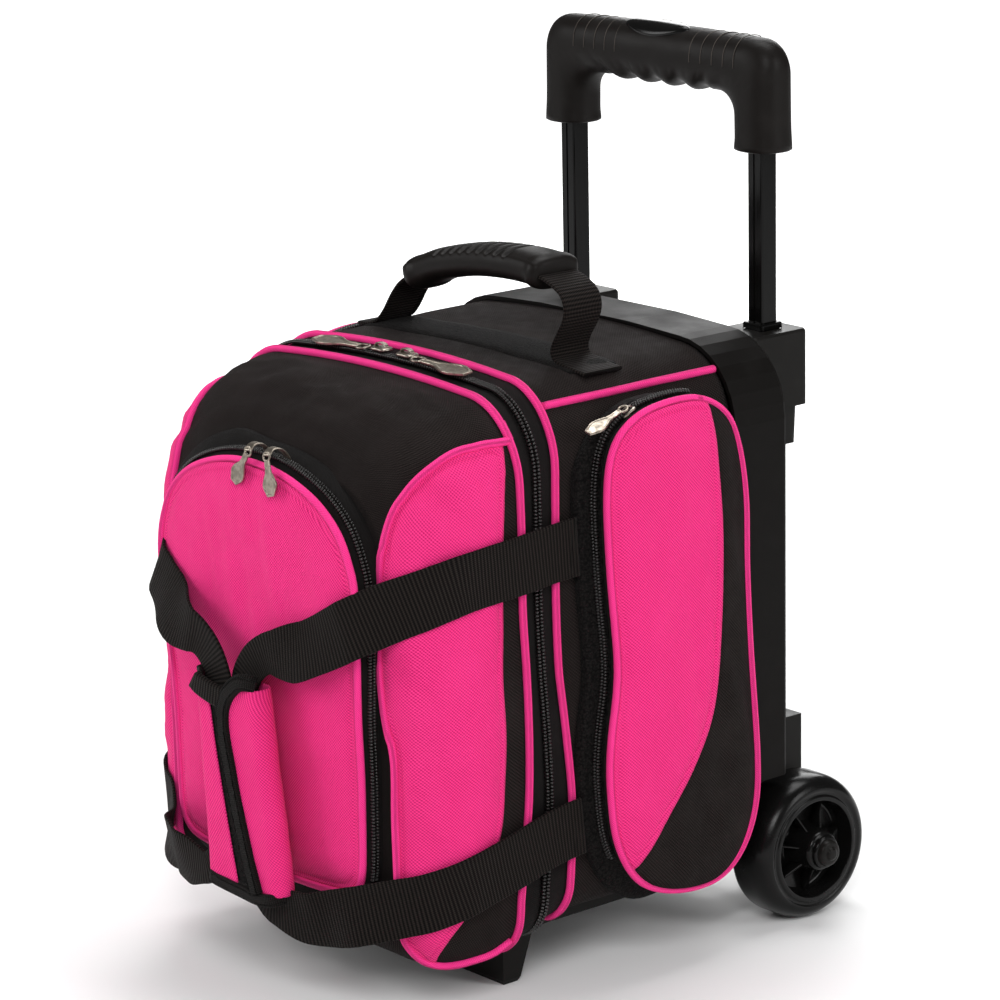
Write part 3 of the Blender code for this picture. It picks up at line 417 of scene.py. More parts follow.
def twill(name, dark, light, pitch, roughness, sheen, depth=0.00035, wear=0.25):
    look = Look(name, light, roughness, Sheen_Weight=sheen, Sheen_Roughness=0.40, Specular_IOR_Level=0.07)
    cloth, place = look.cloth(), look.place()
    ridge = look.bands(cloth, pitch, "DIAGONAL", distortion=0.6, detail=1.0)
    thread = look.bands(look.turned(cloth, math.radians(90)), pitch * 0.90, "DIAGONAL")
    weave = look.math("ADD", look.math("MULTIPLY", ridge, 0.60), look.math("MULTIPLY", thread, 0.40))
    tone = look.noise(place, 0.035, 3.0)
    base = look.blend(look.ramp(weave, 0.0, 1.0, 0.12, 0.80), dark, light)
    soft = look.blend(look.ramp(tone, 0.0, wear, 0.42, 0.72), base, tuple(min(1.0, c * 1.22 + 0.002) for c in light))
    look.link(soft, "Base Color")
    look.link(look.ramp(look.noise(place, 0.012), roughness - 0.06, roughness + 0.08, 0.3, 0.7), "Roughness")
    folds = look.bump(look.noise(place, 0.018, 2.0), 0.0010, 0.35)
    look.link(look.bump(weave, depth, 0.85, folds), "Normal")
    return look.material


def webbing(name, dark, light, pitch=0.0026):
    look = Look(name, light, 0.62, Sheen_Weight=0.02, Sheen_Roughness=0.4, Specular_IOR_Level=0.07)
    cloth = look.cloth()
    rib = look.bands(cloth, pitch, "X", distortion=0.25)
    thread = look.bands(look.turned(cloth, math.radians(8)), 0.0013, "Y", distortion=0.5)
    weave = look.math("ADD", look.math("MULTIPLY", rib, 0.65), look.math("MULTIPLY", thread, 0.35))
    look.link(look.blend(look.ramp(weave, 0.0, 1.0, 0.25, 0.95), dark, light), "Base Color")
    look.link(look.bump(weave, 0.0007, 0.95), "Normal")
    look.link(look.ramp(weave, 0.80, 0.55), "Roughness")
    return look.material


def nubby(name, dark, light, grain):
    look = Look(name, light, 0.85, Sheen_Weight=0.02, Sheen_Roughness=0.5, Specular_IOR_Level=0.07)
    place = look.place()
    cells = look.node("ShaderNodeTexVoronoi", {"Vector": place, "Scale": 1.0 / grain, "Randomness": 0.85}
                      ).outputs["Distance"]
    look.link(look.blend(look.ramp(cells, 1.0, 0.0, 0.1, 0.75), dark, light), "Base Color")
    look.link(look.bump(look.math("ADD", cells, look.noise(place, grain * 0.4)), 0.0009, 0.9), "Normal")
    return look.material


def moulded(name, colour, roughness, grain, depth, scuff=0.08, coat=0.0, shine=0.28):
    look = Look(name, colour, roughness, Specular_IOR_Level=shine, Coat_Weight=coat, Coat_Roughness=0.08)
    place = look.place()
    cloud = look.noise(place, 0.028, 4.0)
    look.link(look.blend(look.ramp(cloud, 0.0, scuff * 4, 0.52, 0.75), colour,
                         tuple(c * 1.7 + 0.006 for c in colour)), "Base Color")
    look.link(look.ramp(cloud, roughness - scuff, roughness + scuff, 0.35, 0.7), "Roughness")
    look.link(look.bump(look.noise(place, grain, 3.0), depth, 0.5), "Normal")
    return look.material


def cast_metal(name, colour, roughness):
    look = Look(name, colour, roughness, 1.0)
    place = look.place()
    cloud = look.noise(place, 0.0035, 4.0)
    look.link(look.blend(look.ramp(cloud, 0.0, 1.0, 0.35, 0.68), tuple(c * 0.55 for c in colour), colour),
              "Base Color")
    look.link(look.ramp(cloud, roughness + 0.12, roughness - 0.06, 0.35, 0.7), "Roughness")
    look.link(look.bump(look.noise(place, 0.0016, 2.0), 0.00008, 0.5), "Normal")
    return look.material


def tube_paint(name, colour):
    look = Look(name, colour, 0.16, 0.0, Specular_IOR_Level=0.16)
    place = look.place()
    drawn = look.noise(look.turned(place, 0.0, (1.0, 1.0, 0.02)), 0.0008, 3.0)
    look.link(look.ramp(drawn, 0.12, 0.24, 0.3, 0.7), "Roughness")
    look.link(look.bump(drawn, 0.00005, 0.4), "Normal")
    return look.material


BLACK_DARK, BLACK_LIGHT = (0.0016, 0.0011, 0.0010), (0.0185, 0.0138, 0.0130)
BLACK = twill("black_twill", BLACK_DARK, BLACK_LIGHT, 0.0017, 0.80, 0.01, depth=0.0005, wear=0.22)
PINK = twill("pink_twill", (0.48, 0.006, 0.100), (0.87, 0.044, 0.242), 0.0016, 0.72, 0.04, depth=0.0004, wear=0.10)
PIPING = twill("pink_piping_twill", (0.66, 0.012, 0.165), (0.93, 0.052, 0.285), 0.00115, 0.58, 0.04, wear=0.10)
LINING = twill("grey_lining", (0.010, 0.010, 0.011), (0.030, 0.030, 0.032), 0.0011, 0.85, 0.02)
WEBBING = webbing("ribbed_webbing", (0.0016, 0.0012, 0.0011), (0.0200, 0.0152, 0.0132))
BINDING = webbing("edge_binding", (0.0035, 0.0030, 0.0028), (0.0150, 0.0130, 0.0120), 0.0012)
TAPE = twill("zipper_tape", (0.0030, 0.0026, 0.0026), (0.0100, 0.0088, 0.0085), 0.0009, 0.70, 0.01)
TEETH = moulded("zipper_coil", (0.0110, 0.0100, 0.0095), 0.28, 0.0010, 0.00005, 0.08, 0.0, 0.45)
NUBBY = nubby("looped_tape", (0.0018, 0.0016, 0.0016), (0.0120, 0.0105, 0.0100), 0.0016)
FRAME = moulded("frame_laminate", (0.0050, 0.0044, 0.0040), 0.50, 0.0009, 0.00010, 0.06, 0.0, 0.06)
PLASTIC = moulded("moulded_plastic", (0.0070, 0.0064, 0.0058), 0.38, 0.0007, 0.00008, 0.08, 0.0, 0.10)
RUBBER = moulded("grip_rubber", (0.0070, 0.0058, 0.0052), 0.46, 0.0005, 0.00012, 0.07, 0.0, 0.10)
GLOSS = moulded("wheel_gloss", (0.0035, 0.0034, 0.0033), 0.20, 0.0040, 0.00004, 0.05, 0.0, 0.16)
TREAD = moulded("wheel_tread_gloss", (0.0038, 0.0037, 0.0036), 0.24, 0.0030, 0.00006, 0.06, 0.0, 0.16)
TUBE = tube_paint("tube_paint", (0.0022, 0.0021, 0.0020))
PEWTER = cast_metal("pewter", (0.40, 0.35, 0.29), 0.36)
STEEL = cast_metal("plain_steel", (0.36, 0.32, 0.27), 0.34)
FOAM = nubby("foam", (0.030, 0.030, 0.034), (0.085, 0.085, 0.090), 0.0011)
THREAD = webbing("sewing_thread", (0.0060, 0.0055, 0.0050), (0.0260, 0.0240, 0.0220), 0.0006)


# ---------------------------------------------------------------- body surfaces
# Upright axis and unrolling radius of the rounded front corners, and how far the left one sags outwards low down.
CORNER_X, CORNER_Y, CORNER_R = 0.098, -0.118, 0.045
LEFT_SAG = 0.0150


def body_ring(half, low, top, corner, corner_low, crown, count):
    """Closed (x, z) loop of `count` evenly spaced points, from the bottom centre up the right side."""
    points = [(0.0, low)]
    for k in range(9):
        angle = math.radians(-90 + 11.25 * k)
        points.append((half - corner_low + corner_low * math.cos(angle),
                       low + corner_low + corner_low * math.sin(angle)))
    for k in range(13):
        angle = math.radians(7.5 * k)
        points.append((half - corner + corner * math.cos(angle), top - crown - corner + corner * math.sin(angle)))
    for share in (0.8, 0.6, 0.4, 0.2):
        points.append(((half - corner) * share, top - crown * share * share))
    loop = points + [(0.0, top)] + [(-x, z) for x, z in reversed(points[1:])]
    return even([Vector((x, z, 0.0)) for x, z in loop], count=count, closed=True)


FRONT_LEVELS = (
    (FRONT_NOSE_Y, 0.1150, 0.0560, 0.3580, 0.058),
    (-0.1550, 0.1280, 0.0430, 0.3690, 0.060),
    (-0.1420, 0.1370, 0.0340, 0.3820, 0.060),
    (-0.1250, 0.1430, 0.0300, 0.3930, 0.056),
    (-0.1000, 0.1460, 0.0300, 0.4010, 0.052),
    (RIM_FRONT_Y, BODY_HALF, FRONT_LOW, FRONT_TOP, CORNER_TOP),
)
# How far the sewn rims wander from their planes at each height: (z, rear rim, front rim).
RIM_LEAN = ((0.050, 0.000, -0.009), (0.065, 0.001, -0.0085), (0.080, 0.002, -0.007), (0.110, 0.004, -0.003),
            (0.140, 0.0035, 0.000), (0.165, 0.001, 0.001), (0.190, -0.002, 0.001), (0.222, -0.006, 0.000),
            (0.268, -0.0075, -0.0025), (0.321, -0.007, -0.0025), (0.380, -0.006, -0.004), (0.400, -0.004, -0.003),
            (0.412, -0.001, -0.001))


def lean(y, z):
    rear, front = table(RIM_LEAN, z)
    share = clamp((RIM_REAR_Y - y) / (RIM_REAR_Y - RIM_FRONT_Y))
    away = max(0.0, y - RIM_REAR_Y, RIM_FRONT_Y - y)
    return (rear + (front - rear) * share) * (1.0 - smoothstep(away / 0.055))


def leaned(point):
    return Vector((point[0], point[1] + lean(point[1], point[2]), point[2]))


def loft_shell(name, levels, folds, material, body, count=RING, cap=False):
    """Fabric shell lofted through (y, ring) levels, with folds pushed along the ring's normal."""
    verts, flat = [], []
    run = 0.0
    before = None
    for y, ring in levels:
        girth = 0.0
        if before is not None:
            run += max(math.hypot(y - before[0], ring[count // 4].x - before[1]), 0.001)
        before = (y, ring[count // 4].x)
        for k, p in enumerate(ring):
            ahead, behind = ring[(k + 1) % count], ring[k - 1]
            normal = Vector((ahead.y - behind.y, behind.x - ahead.x)).normalized()
            if k:
                girth += (p - ring[k - 1]).length
            push = folds(p.x, y, p.y)
            verts.append(leaned((p.x + normal.x * push, y, p.y + normal.y * push)))
            flat.append((girth, run))
    faces = grid_faces(len(levels), count, closed_cols=True)
    if cap:
        first = verts[:count]
        middle = sum(first, Vector()) / count
        start = len(verts)
        for step, share in enumerate((0.80, 0.5, 0.2)):
            for p in first:
                spot = middle.lerp(p, share)
                verts.append(Vector((spot.x, spot.y - 0.0006, spot.z)))
                flat.append((spot.x + 0.5, spot.z))
        rows = [0] + [start + step * count for step in range(3)]
        for a, b in zip(rows, rows[1:]):
            faces += [(a + k, b + k, b + (k + 1) % count, a + (k + 1) % count) for k in range(count)]
        faces.append(tuple(rows[-1] + k for k in range(count)))
    obj = piece(name, verts, faces, material, body, flat)
    tidy_normals(obj)
    return obj


def front_levels():
    levels = []
    for k in range(30):
        share = k / 29
        y = FRONT_NOSE_Y + (RIM_FRONT_Y - FRONT_NOSE_Y) * share ** 1.25
        half, low, top, corner = table(FRONT_LEVELS, y)
        levels.append((y, body_ring(half, low, top, corner, CORNER_LOW, CROWN, RING)))
    return levels


def front_folds(x, y, z):
    away = smoothstep((RIM_FRONT_Y - y) / 0.020)
    top = smoothstep((z - 0.30) / 0.08)
    crease = wrinkle((abs(x) * 0.8 + z, y * 1.4, 0.0), 0.026, 0.0026, 3.0) * top
    soft = wrinkle((x, y, z), 0.075, 0.0016, 1.0)
    beside, before = x < -CORNER_X, y < CORNER_Y
    turn = math.degrees(math.atan2(CORNER_Y - y, -CORNER_X - x)) if beside and before else 0.0 if beside else 90.0
    sag = LEFT_SAG * math.exp(-((turn - 34.0) / 34.0) ** 2 - ((z - 0.120) / 0.060) ** 2) if x < 0 else 0.0
    return away * (crease + soft + sag * smoothstep((RIM_FRONT_Y - y) / 0.035))


def rear_levels():
    levels = []
    for k in range(22):
        y = RIM_REAR_Y + (FRAME_FRONT_Y - RIM_REAR_Y) * k / 21
        rise = 0.003 * (y - RIM_REAR_Y) / (FRAME_FRONT_Y - RIM_REAR_Y)
        levels.append((y, body_ring(BODY_HALF, BODY_LOW, REAR_TOP + rise, CORNER_TOP, CORNER_LOW, CROWN, RING)))
    return levels


def rear_folds(x, y, z):
    span = (y - RIM_REAR_Y) / (FRAME_FRONT_Y - RIM_REAR_Y)
    belly = math.sin(math.pi * clamp(span))
    sag = -0.0012 * belly * smoothstep((z - 0.395) / 0.01) * (1 - smoothstep((abs(x) - 0.05) / 0.05))
    return sag + belly * wrinkle((x, y, z), 0.055, 0.0012, 5.0)


def surface_of(obj):
    """Ray target made from a shell before its thickness is added."""
    mesh = obj.data
    return BVHTree.FromPolygons([v.co.copy() for v in mesh.vertices], [tuple(p.vertices) for p in mesh.polygons])


# ---------------------------------------------------------------- clamshell bodies
front_shell = loft_shell("front_shell", front_levels(), front_folds, BLACK, "front_half", cap=True)
FRONT_SURFACE = surface_of(front_shell)
rear_shell = loft_shell("rear_shell", rear_levels(), rear_folds, BLACK, "bag")
REAR_SURFACE = surface_of(rear_shell)
for shell in (front_shell, rear_shell):
    shell.data.materials.append(LINING)
    modifier(shell, "SOLIDIFY", thickness=0.0032, offset=-1.0, material_offset=1, material_offset_rim=0)
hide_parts("front_body_shell")
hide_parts("rear_body_shell")


def hit(surface, origin, direction, lift=0.0):
    """Place and outward normal where a ray from inside the bag leaves it."""
    direction = Vector(direction).normalized()
    spot, normal, _, _ = surface.ray_cast(Vector(origin), direction)
    if spot is None:
        spot, normal, _, _ = surface.find_nearest(Vector(origin) + direction * 0.06)
    if normal.dot(direction) < 0:
        normal = -normal
    return spot + normal * lift, normal


def corner_spot(sign, lift=0.0):
    """Maps (s, z) round the front corner: s counts back along the side from the corner's start."""
    def spot(s, z):
        high = min(max(z, 0.036), 0.395)
        if s >= 0:
            return hit(FRONT_SURFACE, (sign * 0.06, CORNER_Y + s, high), (sign, 0, 0), lift)
        angle = -s / CORNER_R
        if angle < math.pi / 2:
            return hit(FRONT_SURFACE, (sign * CORNER_X, CORNER_Y, high),
                       (sign * math.cos(angle), -math.sin(angle), 0), lift)
        over = (angle - math.pi / 2) * CORNER_R
        return hit(FRONT_SURFACE, (sign * (CORNER_X - over), CORNER_Y, high), (0, -1, 0), lift)
    return spot


# Piping of the side lobe in (s, z): from the rim over the arch, down the front corner, to the bottom rim.
LOBE_PIPING = ((0.042, 0.377), (0.016, 0.377), (-0.006, 0.373), (-0.034, 0.361), (-0.050, 0.346), (-0.057, 0.325),
               (-0.060, 0.285), (-0.062, 0.245), (-0.059, 0.211), (-0.053, 0.180), (-0.053, 0.130), (-0.052, 0.070),
               (-0.050, 0.054), (-0.040, 0.041), (-0.020, 0.036), (0.010, 0.039), (0.028, 0.045))
LOBE_SEAM = ((0.031, 0.374), (0.025, 0.343), (0.023, 0.305), (0.023, 0.260), (0.021, 0.226), (0.023, 0.190),
             (0.022, 0.158), (0.018, 0.125), (0.006, 0.095), (-0.010, 0.071), (-0.021, 0.058), (-0.030, 0.043))


def lobe_folds(s, z):
    slant = s * 0.75 + z * 0.66
    return wrinkle((slant, (z - s) * 0.22, 0.0), 0.020, 0.0027, 7.0) + wrinkle((s, z, 0.0), 0.05, 0.0018, 9.0)


for sign, side in SIDES:
    arch = curve_through([(s, z, 0.0) for s, z in LOBE_PIPING], 8)
    seam = curve_through([(s, z, 0.0) for s, z in LOBE_SEAM], 6)
    first, last = (min(range(len(arch)), key=lambda k: (arch[k] - end).length) for end in (seam[0], seam[-1]))
    outline = even(arch[first:last + 1] + list(reversed(seam))[1:-1], step=0.0045, closed=True)
    patch(f"side_lobe_{side}", outline, corner_spot(sign), PINK, "front_half", spacing=0.0045,
          puff=0.0042, edge=0.022, lift=0.0008, folds=lobe_folds)
    path, across = [], []
    for p in even(arch, step=0.004):
        place, normal = corner_spot(sign, 0.0016)(p.x, p.y)
        path.append(place)
        across.append(normal)
    sweep(f"lobe_piping_{side}", even(path, count=len(path)), across, circle(PIPE), PIPING, "front_half")


# ---------------------------------------------------------------- rims, main zipper
def rim_path(y, half, low, top, corner, inset, step=0.004):
    """Path round the sides and top of the rim, ending under the bottom corners."""
    loop = body_ring(half - inset, low + inset, top - inset, corner - inset, CORNER_LOW - inset, CROWN, 400)
    keep = [p for p in loop if abs(p.x) > 0.098 or p.y > 0.2]
    right = [p for p in keep if p.x >= 0]
    left = [p for p in keep if p.x < 0]
    return even([leaned((p.x, y, p.y)) for p in right + left], step=step)


def outward(path):
    centre = Vector((0.0, 0.0, 0.22))
    result = []
    for k, p in enumerate(path):
        normal = heading(path, k).cross(Vector((0, 1, 0)))
        if normal.dot(p - centre) < 0:
            normal = -normal
        result.append(normal.normalized())
    return result


def rim(name, y, half, low, top, corner, body, offset):
    path = rim_path(y, half, low, top, corner, -offset)
    return sweep(name, path, outward(path), circle(PIPE), PIPING, body)


rear_piping = rim("rear_rim_cord", RIM_REAR_Y + 0.001, BODY_HALF, BODY_LOW, REAR_TOP, CORNER_TOP, "bag", 0.0016)
front_piping = rim("front_rim_cord", RIM_FRONT_Y - 0.001, BODY_HALF, FRONT_LOW, FRONT_TOP, CORNER_TOP,
                   "front_half", 0.0016)
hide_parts("rear_rim_piping")
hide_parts("front_rim_piping")


def tape_strip(name, y_from, y_to, top_from, top_to, low_from, low_to, body, node):
    """Zipper tape between the rim and the coil, dipping a little towards the coil."""
    rows = []
    for k in range(5):
        share = k / 4
        y = y_from + (y_to - y_from) * share
        inset = 0.0004 + 0.0012 * share
        top = top_from + (top_to - top_from) * share
        low = low_from + (low_to - low_from) * share
        rows.append(rim_path(y, BODY_HALF, low, top, CORNER_TOP, inset, step=0.005))
    count = min(len(r) for r in rows)
    rows = [even(r, count=count) for r in rows]
    verts = [p for r in rows for p in r]
    flat = [(c * 0.005, r * 0.004) for r in range(5) for c in range(count)]
    obj = piece(name, verts, grid_faces(5, count), TAPE, body, flat)
    tidy_normals(obj)
    modifier(obj, "SOLIDIFY", thickness=0.0012, offset=0.0)
    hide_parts(node)
    return obj


tape_strip("rear_zip_strip", RIM_REAR_Y, ZIP_Y + TAPE_GAP, REAR_TOP, 0.4075, BODY_LOW, 0.040, "bag",
           "rear_zipper_tape")
tape_strip("front_zip_strip", RIM_FRONT_Y, ZIP_Y - TAPE_GAP, FRONT_TOP, 0.4065, FRONT_LOW, 0.037, "front_half",
           "front_zipper_tape")


def coil(name, path, up, side_shift, body, pitch=0.0021, wide=0.0030, tall=0.0016, long=0.0013):
    """One row of zipper coil: a small rounded hump every `pitch`, set off to one side of the path."""
    spots = even(path, step=pitch)
    count = len(spots)
    ups = [up[min(len(up) - 1, round(k * (len(up) - 1) / (count - 1)))] for k in range(count)]
    verts, faces = [], []
    profile = ((-1.0, -0.4), (-0.75, 0.55), (-0.25, 1.0), (0.25, 1.0), (0.75, 0.55), (1.0, -0.4))
    for k, p in enumerate(spots):
        tangent = heading(spots, k)
        normal = (ups[k] - tangent * ups[k].dot(tangent)).normalized()
        across = tangent.cross(normal)
        centre = p + across * side_shift
        start = len(verts)
        for run, scale in ((-long / 2, 0.8), (0.0, 1.0), (long / 2, 0.8)):
            for u, v in profile:
                verts.append(centre + tangent * run + across * (u * wide / 2 * scale) + normal * (v * tall * scale))
        size = len(profile)
        for r in range(2):
            for c in range(size):
                a, b = start + r * size + c, start + r * size + (c + 1) % size
                faces.append((a, b, b + size, a + size))
        faces.append(tuple(range(start, start + size)))
        faces.append(tuple(range(start + 3 * size - 1, start + 2 * size - 1, -1)))
    obj = piece(name, verts, faces, TEETH, body)
    tidy_normals(obj)
    return obj


zip_path = rim_path(ZIP_Y, BODY_HALF, 0.0385, 0.4072, CORNER_TOP, -0.0006)
zip_up = outward(zip_path)
coil("main_coil_rear", zip_path, zip_up, -0.0018, "bag", 0.0024, 0.0034, 0.0019, 0.0016)
coil("main_coil_front", zip_path, zip_up, 0.0018, "front_half", 0.0024, 0.0034, 0.0019, 0.0016)


# ---------------------------------------------------------------- front pocket
POCKET_HALF = ((0.0790, 0.0), (0.0800, 0.0450), (0.0830, 0.0780), (0.0890, 0.0910), (0.1030, 0.0970),
               (0.1500, 0.0985), (0.2000, 0.0992), (0.2400, 0.1020), (0.2700, 0.1040), (0.2900, 0.1030),
               (0.3060, 0.0985), (0.3250, 0.0880), (0.3405, 0.0690), (0.3505, 0.0450), (0.3555, 0.0220), (0.3570, 0.0))
right_half = curve_through([(x, z, 0.0) for z, x in POCKET_HALF], 8)
POCKET = even(right_half + [Vector((-p.x, p.y, 0.0)) for p in reversed(right_half[1:-1])], step=0.0045, closed=True)
POCKET_FACE = -0.1762
POCKET_LEAN = 0.0050


def inset_line(line, gap):
    """A closed 2D line moved inwards by `gap`; a negative gap moves it outwards."""
    count, result = len(line), []
    area = sum(line[k - 1].x * line[k].y - line[k].x * line[k - 1].y for k in range(count))
    for k in range(count):
        along = (line[(k + 1) % count] - line[k - 1]).normalized()
        side = Vector((-along.y, along.x, 0.0)) if area > 0 else Vector((along.y, -along.x, 0.0))
        result.append(line[k] + side * gap)
    return result


def pocket_depth(z):
    """The pocket leans forward towards its top."""
    return POCKET_FACE - POCKET_LEAN * smoothstep((z - 0.15) / 0.13)


def pocket_spot(x, z):
    bow = 0.0035 * (1.0 - (x / 0.11) ** 2) * clamp((z - 0.07) / 0.05)
    return Vector((x, pocket_depth(z) - bow, z)), Vector((0.0, -1.0, 0.0))


def pocket_folds(x, z):
    fall = clamp((z - 0.10) / 0.08)
    gather = math.exp(-((x - 0.004) / 0.035) ** 2) * smoothstep((z - 0.20) / 0.12)
    runs = wrinkle((x * 1.0 + (z - 0.3) * 0.10, z * 0.14, 0.0), 0.017, 0.0024, 21.0) * (0.30 + 0.9 * gather)
    return fall * runs + wrinkle((x, z, 0.0), 0.050, 0.0016, 23.0)


pocket_panel = patch("pocket_panel", inset_line(POCKET, 0.0014), pocket_spot, PINK, "front_flap",
                     spacing=0.0042, puff=0.0040, edge=0.026, lift=-0.0002, folds=pocket_folds)
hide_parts("front_pocket_flap")
pocket_path = [Vector((p.x, pocket_depth(p.y), p.y)) for p in POCKET]
pocket_cord = sweep("pocket_cord", pocket_path, [Vector((0, -1, 0))] * len(pocket_path), circle(PIPE), PIPING,
                    "front_flap", closed=True)
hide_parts("front_pocket_piping")


def wall(name, outline, to_space, rows, material, body, thick=0.0012, around=None, spread=None):
    """Closed band of cloth: `rows` holds (depth, outward shift, cloth place) across the band, and may add a
    further shift that applies as far as spread(place) says.
    """
    count, verts, flat, run = len(outline), [], [], [0.0]
    for a, b in zip(outline, outline[1:]):
        run.append(run[-1] + (b - a).length)
    for depth, shift, place, *more in rows:
        widen = more[0] if more else 0.0
        line = inset_line(outline, -shift)
        if spread:
            line = [p.lerp(q, spread(p)) for p, q in zip(line, inset_line(outline, -shift - widen))]
        for k, p in enumerate(line):
            push = around(p, depth) if around else 0.0
            verts.append(to_space(p.x, p.y, depth + push))
            flat.append((run[k], place))
    obj = piece(name, verts, grid_faces(len(rows), count, closed_cols=True), material, body, flat)
    tidy_normals(obj)
    modifier(obj, "SOLIDIFY", thickness=thick, offset=-1.0)
    return obj


def front_place(x, z, depth):
    return Vector((x, depth, z))


def gusset_spread(p):
    """How much of its flare the edge strip shows: most on the left, some along the arch."""
    on_left = 1.0 if p.x < 0 else 0.0
    return (0.6 * on_left * smoothstep(abs(p.x) / 0.04) + 0.4 * smoothstep((p.y - 0.270) / 0.040)
            + 0.4 * on_left * smoothstep((0.310 - p.y) / 0.04))


front_gusset = wall("front_gusset", POCKET, front_place,
                    ((-0.1600, 0.0060, 0.0, 0.0115), (-0.1632, 0.0060, 0.0040, 0.0110),
                     (-0.1658, 0.0058, 0.0075, 0.0092), (-0.1678, 0.0054, 0.0115, 0.0064),
                     (-0.1694, 0.0048, 0.0155, 0.0034), (-0.1708, 0.0038, 0.0190, 0.0012),
                     (-0.1724, 0.0024, 0.0218, 0.0), (-0.1745, 0.0006, 0.0245, 0.0)),
                    TAPE, "front_half",
                    around=lambda p, depth: -POCKET_LEAN * smoothstep((p.y - 0.15) / 0.13)
                    * clamp((-depth - 0.164) / 0.01), spread=gusset_spread)
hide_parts("front_pocket_gusset")


def loop_coil(name, outline, to_space, depth, shift, body, keep):
    line = inset_line(outline, -shift)
    outer = inset_line(outline, -shift - 0.01)
    path, ups = [], []
    order = list(range(len(line)))
    start = next(k for k in order if not keep(line[k]) and keep(line[(k + 1) % len(line)]))
    for k in order[start + 1:] + order[:start + 1]:
        if keep(line[k]):
            spot = to_space(line[k].x, line[k].y, depth)
            path.append(spot)
            ups.append((to_space(outer[k].x, outer[k].y, depth) - spot).normalized())
    coil(name + "_a", path, ups, 0.0015, body, 0.0022, 0.0030, 0.0020, 0.0015)
    coil(name + "_b", path, ups, -0.0015, body, 0.0022, 0.0030, 0.0020, 0.0015)


def coil_place(x, z, depth):
    return Vector((x, depth - 0.0030 * smoothstep((z - 0.15) / 0.13), z))


loop_coil("pocket_coil", POCKET, coil_place, -0.1706, 0.0060, "front_half", lambda p: p.y > 0.092)


# ---------------------------------------------------------------- side pockets
SIDE_OUTLINE = ((0.055, 0.388), (0.020, 0.388), (-0.004, 0.380), (-0.018, 0.364), (-0.023, 0.335), (-0.021, 0.285),
                (-0.016, 0.230), (-0.0165, 0.205), (-0.022, 0.170), (-0.023, 0.140), (-0.017, 0.100), (0.002, 0.070),
                (0.034, 0.056), (0.071, 0.055), (0.094, 0.070), (0.107, 0.098), (0.109, 0.135), (0.103, 0.210),
                (0.100, 0.265), (0.099, 0.315), (0.092, 0.353), (0.080, 0.375))
SIDE_SEAM = ((0.064, 0.386), (0.068, 0.345), (0.072, 0.295), (0.070, 0.230), (0.063, 0.178), (0.045, 0.142),
             (0.018, 0.108), (-0.004, 0.079))
SIDE = even(curve_through([(y, z, 0.0) for y, z in SIDE_OUTLINE], 8, closed=True), step=0.0045, closed=True)
SIDE_FACE = 0.1660


def side_place(sign):
    return lambda y, z, depth: Vector((sign * depth, y, z))


def side_spot(sign):
    def spot(y, z):
        bow = 0.0030 * math.cos(math.pi * clamp(abs(y - 0.040) / 0.075) / 2)
        return Vector((sign * (SIDE_FACE + bow), y, z)), Vector((sign, 0.0, 0.0))
    return spot


def side_folds(y, z):
    return (wrinkle((y * 1.5 + z * 0.25, z * 0.35, 0.0), 0.030, 0.0017, 31.0)
            + wrinkle((y, z, 0.0), 0.070, 0.0012, 33.0))


def cut_outline(line, seam):
    """Splits a closed outline by an open line that ends on it: (part before the seam, part after it)."""
    a, b = (min(range(len(line)), key=lambda k: (line[k] - end).length) for end in (seam[0], seam[-1]))
    count = len(line)
    first = [line[(a + k) % count] for k in range((b - a) % count + 1)]
    second = [line[(b + k) % count] for k in range((a - b) % count + 1)]
    return (even(first + list(reversed(seam))[1:-1], step=0.0045, closed=True),
            even(second + seam[1:-1], step=0.0045, closed=True))


for sign, side in SIDES:
    flap = f"side_flap_{side}"
    inner = inset_line(SIDE, 0.0012)
    seam = curve_through([(y, z, 0.0) for y, z in SIDE_SEAM], 8)
    front_part, rear_part = cut_outline(inner, seam)
    shown = patch(f"side_panel_{side}", front_part, side_spot(sign), PINK, flap, spacing=0.0046,
                  puff=0.0052, edge=0.026, lift=0.0002, folds=side_folds, hull=inner)
    dark = patch(f"side_swoosh_{side}", rear_part, side_spot(sign), BLACK, flap, spacing=0.0046,
                 puff=0.0052, edge=0.026, lift=-0.0002, folds=side_folds, hull=inner, groove=False)
    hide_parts(f"side_pocket_flap_{side}")
    sweep(f"side_cord_{side}", [side_place(sign)(p.x, p.y, SIDE_FACE) for p in SIDE],
          [Vector((sign, 0, 0))] * len(SIDE), circle(PIPE), PIPING, flap, closed=True)
    wall(f"side_binding_{side}", SIDE, side_place(sign),
         ((0.1600, 0.0002, 0.0), (0.1612, 0.0014, 0.0012), (0.1630, 0.0017, 0.0030), (0.1646, 0.0006, 0.005)),
         BINDING, flap, 0.0010)
    band = wall(f"side_band_{side}", SIDE, side_place(sign),
                ((0.1430, 0.0010, 0.0, 0.0120), (0.1475, 0.0012, 0.0050, 0.0120), (0.1500, 0.0014, 0.0080, 0.0114),
                 (0.1512, 0.0016, 0.0110, 0.0092), (0.1522, 0.0018, 0.0150, 0.0052), (0.1534, 0.0018, 0.0185, 0.0014),
                 (0.1556, 0.0014, 0.0205, 0.0), (0.1576, 0.0004, 0.0230, 0.0), (0.1600, -0.0016, 0.0255, 0.0)),
                NUBBY, "bag", 0.0012,
                spread=lambda p: smoothstep((0.052 - p.x) / 0.045) * (1.0 - 0.8 * smoothstep((p.y - 0.345) / 0.035)))
    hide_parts(f"side_pocket_gusset_{side}")
    loop_coil(f"side_coil_{side}", SIDE, side_place(sign), 0.1566, 0.0030, "bag",
              lambda p: p.x < 0.060 and p.y > 0.085)


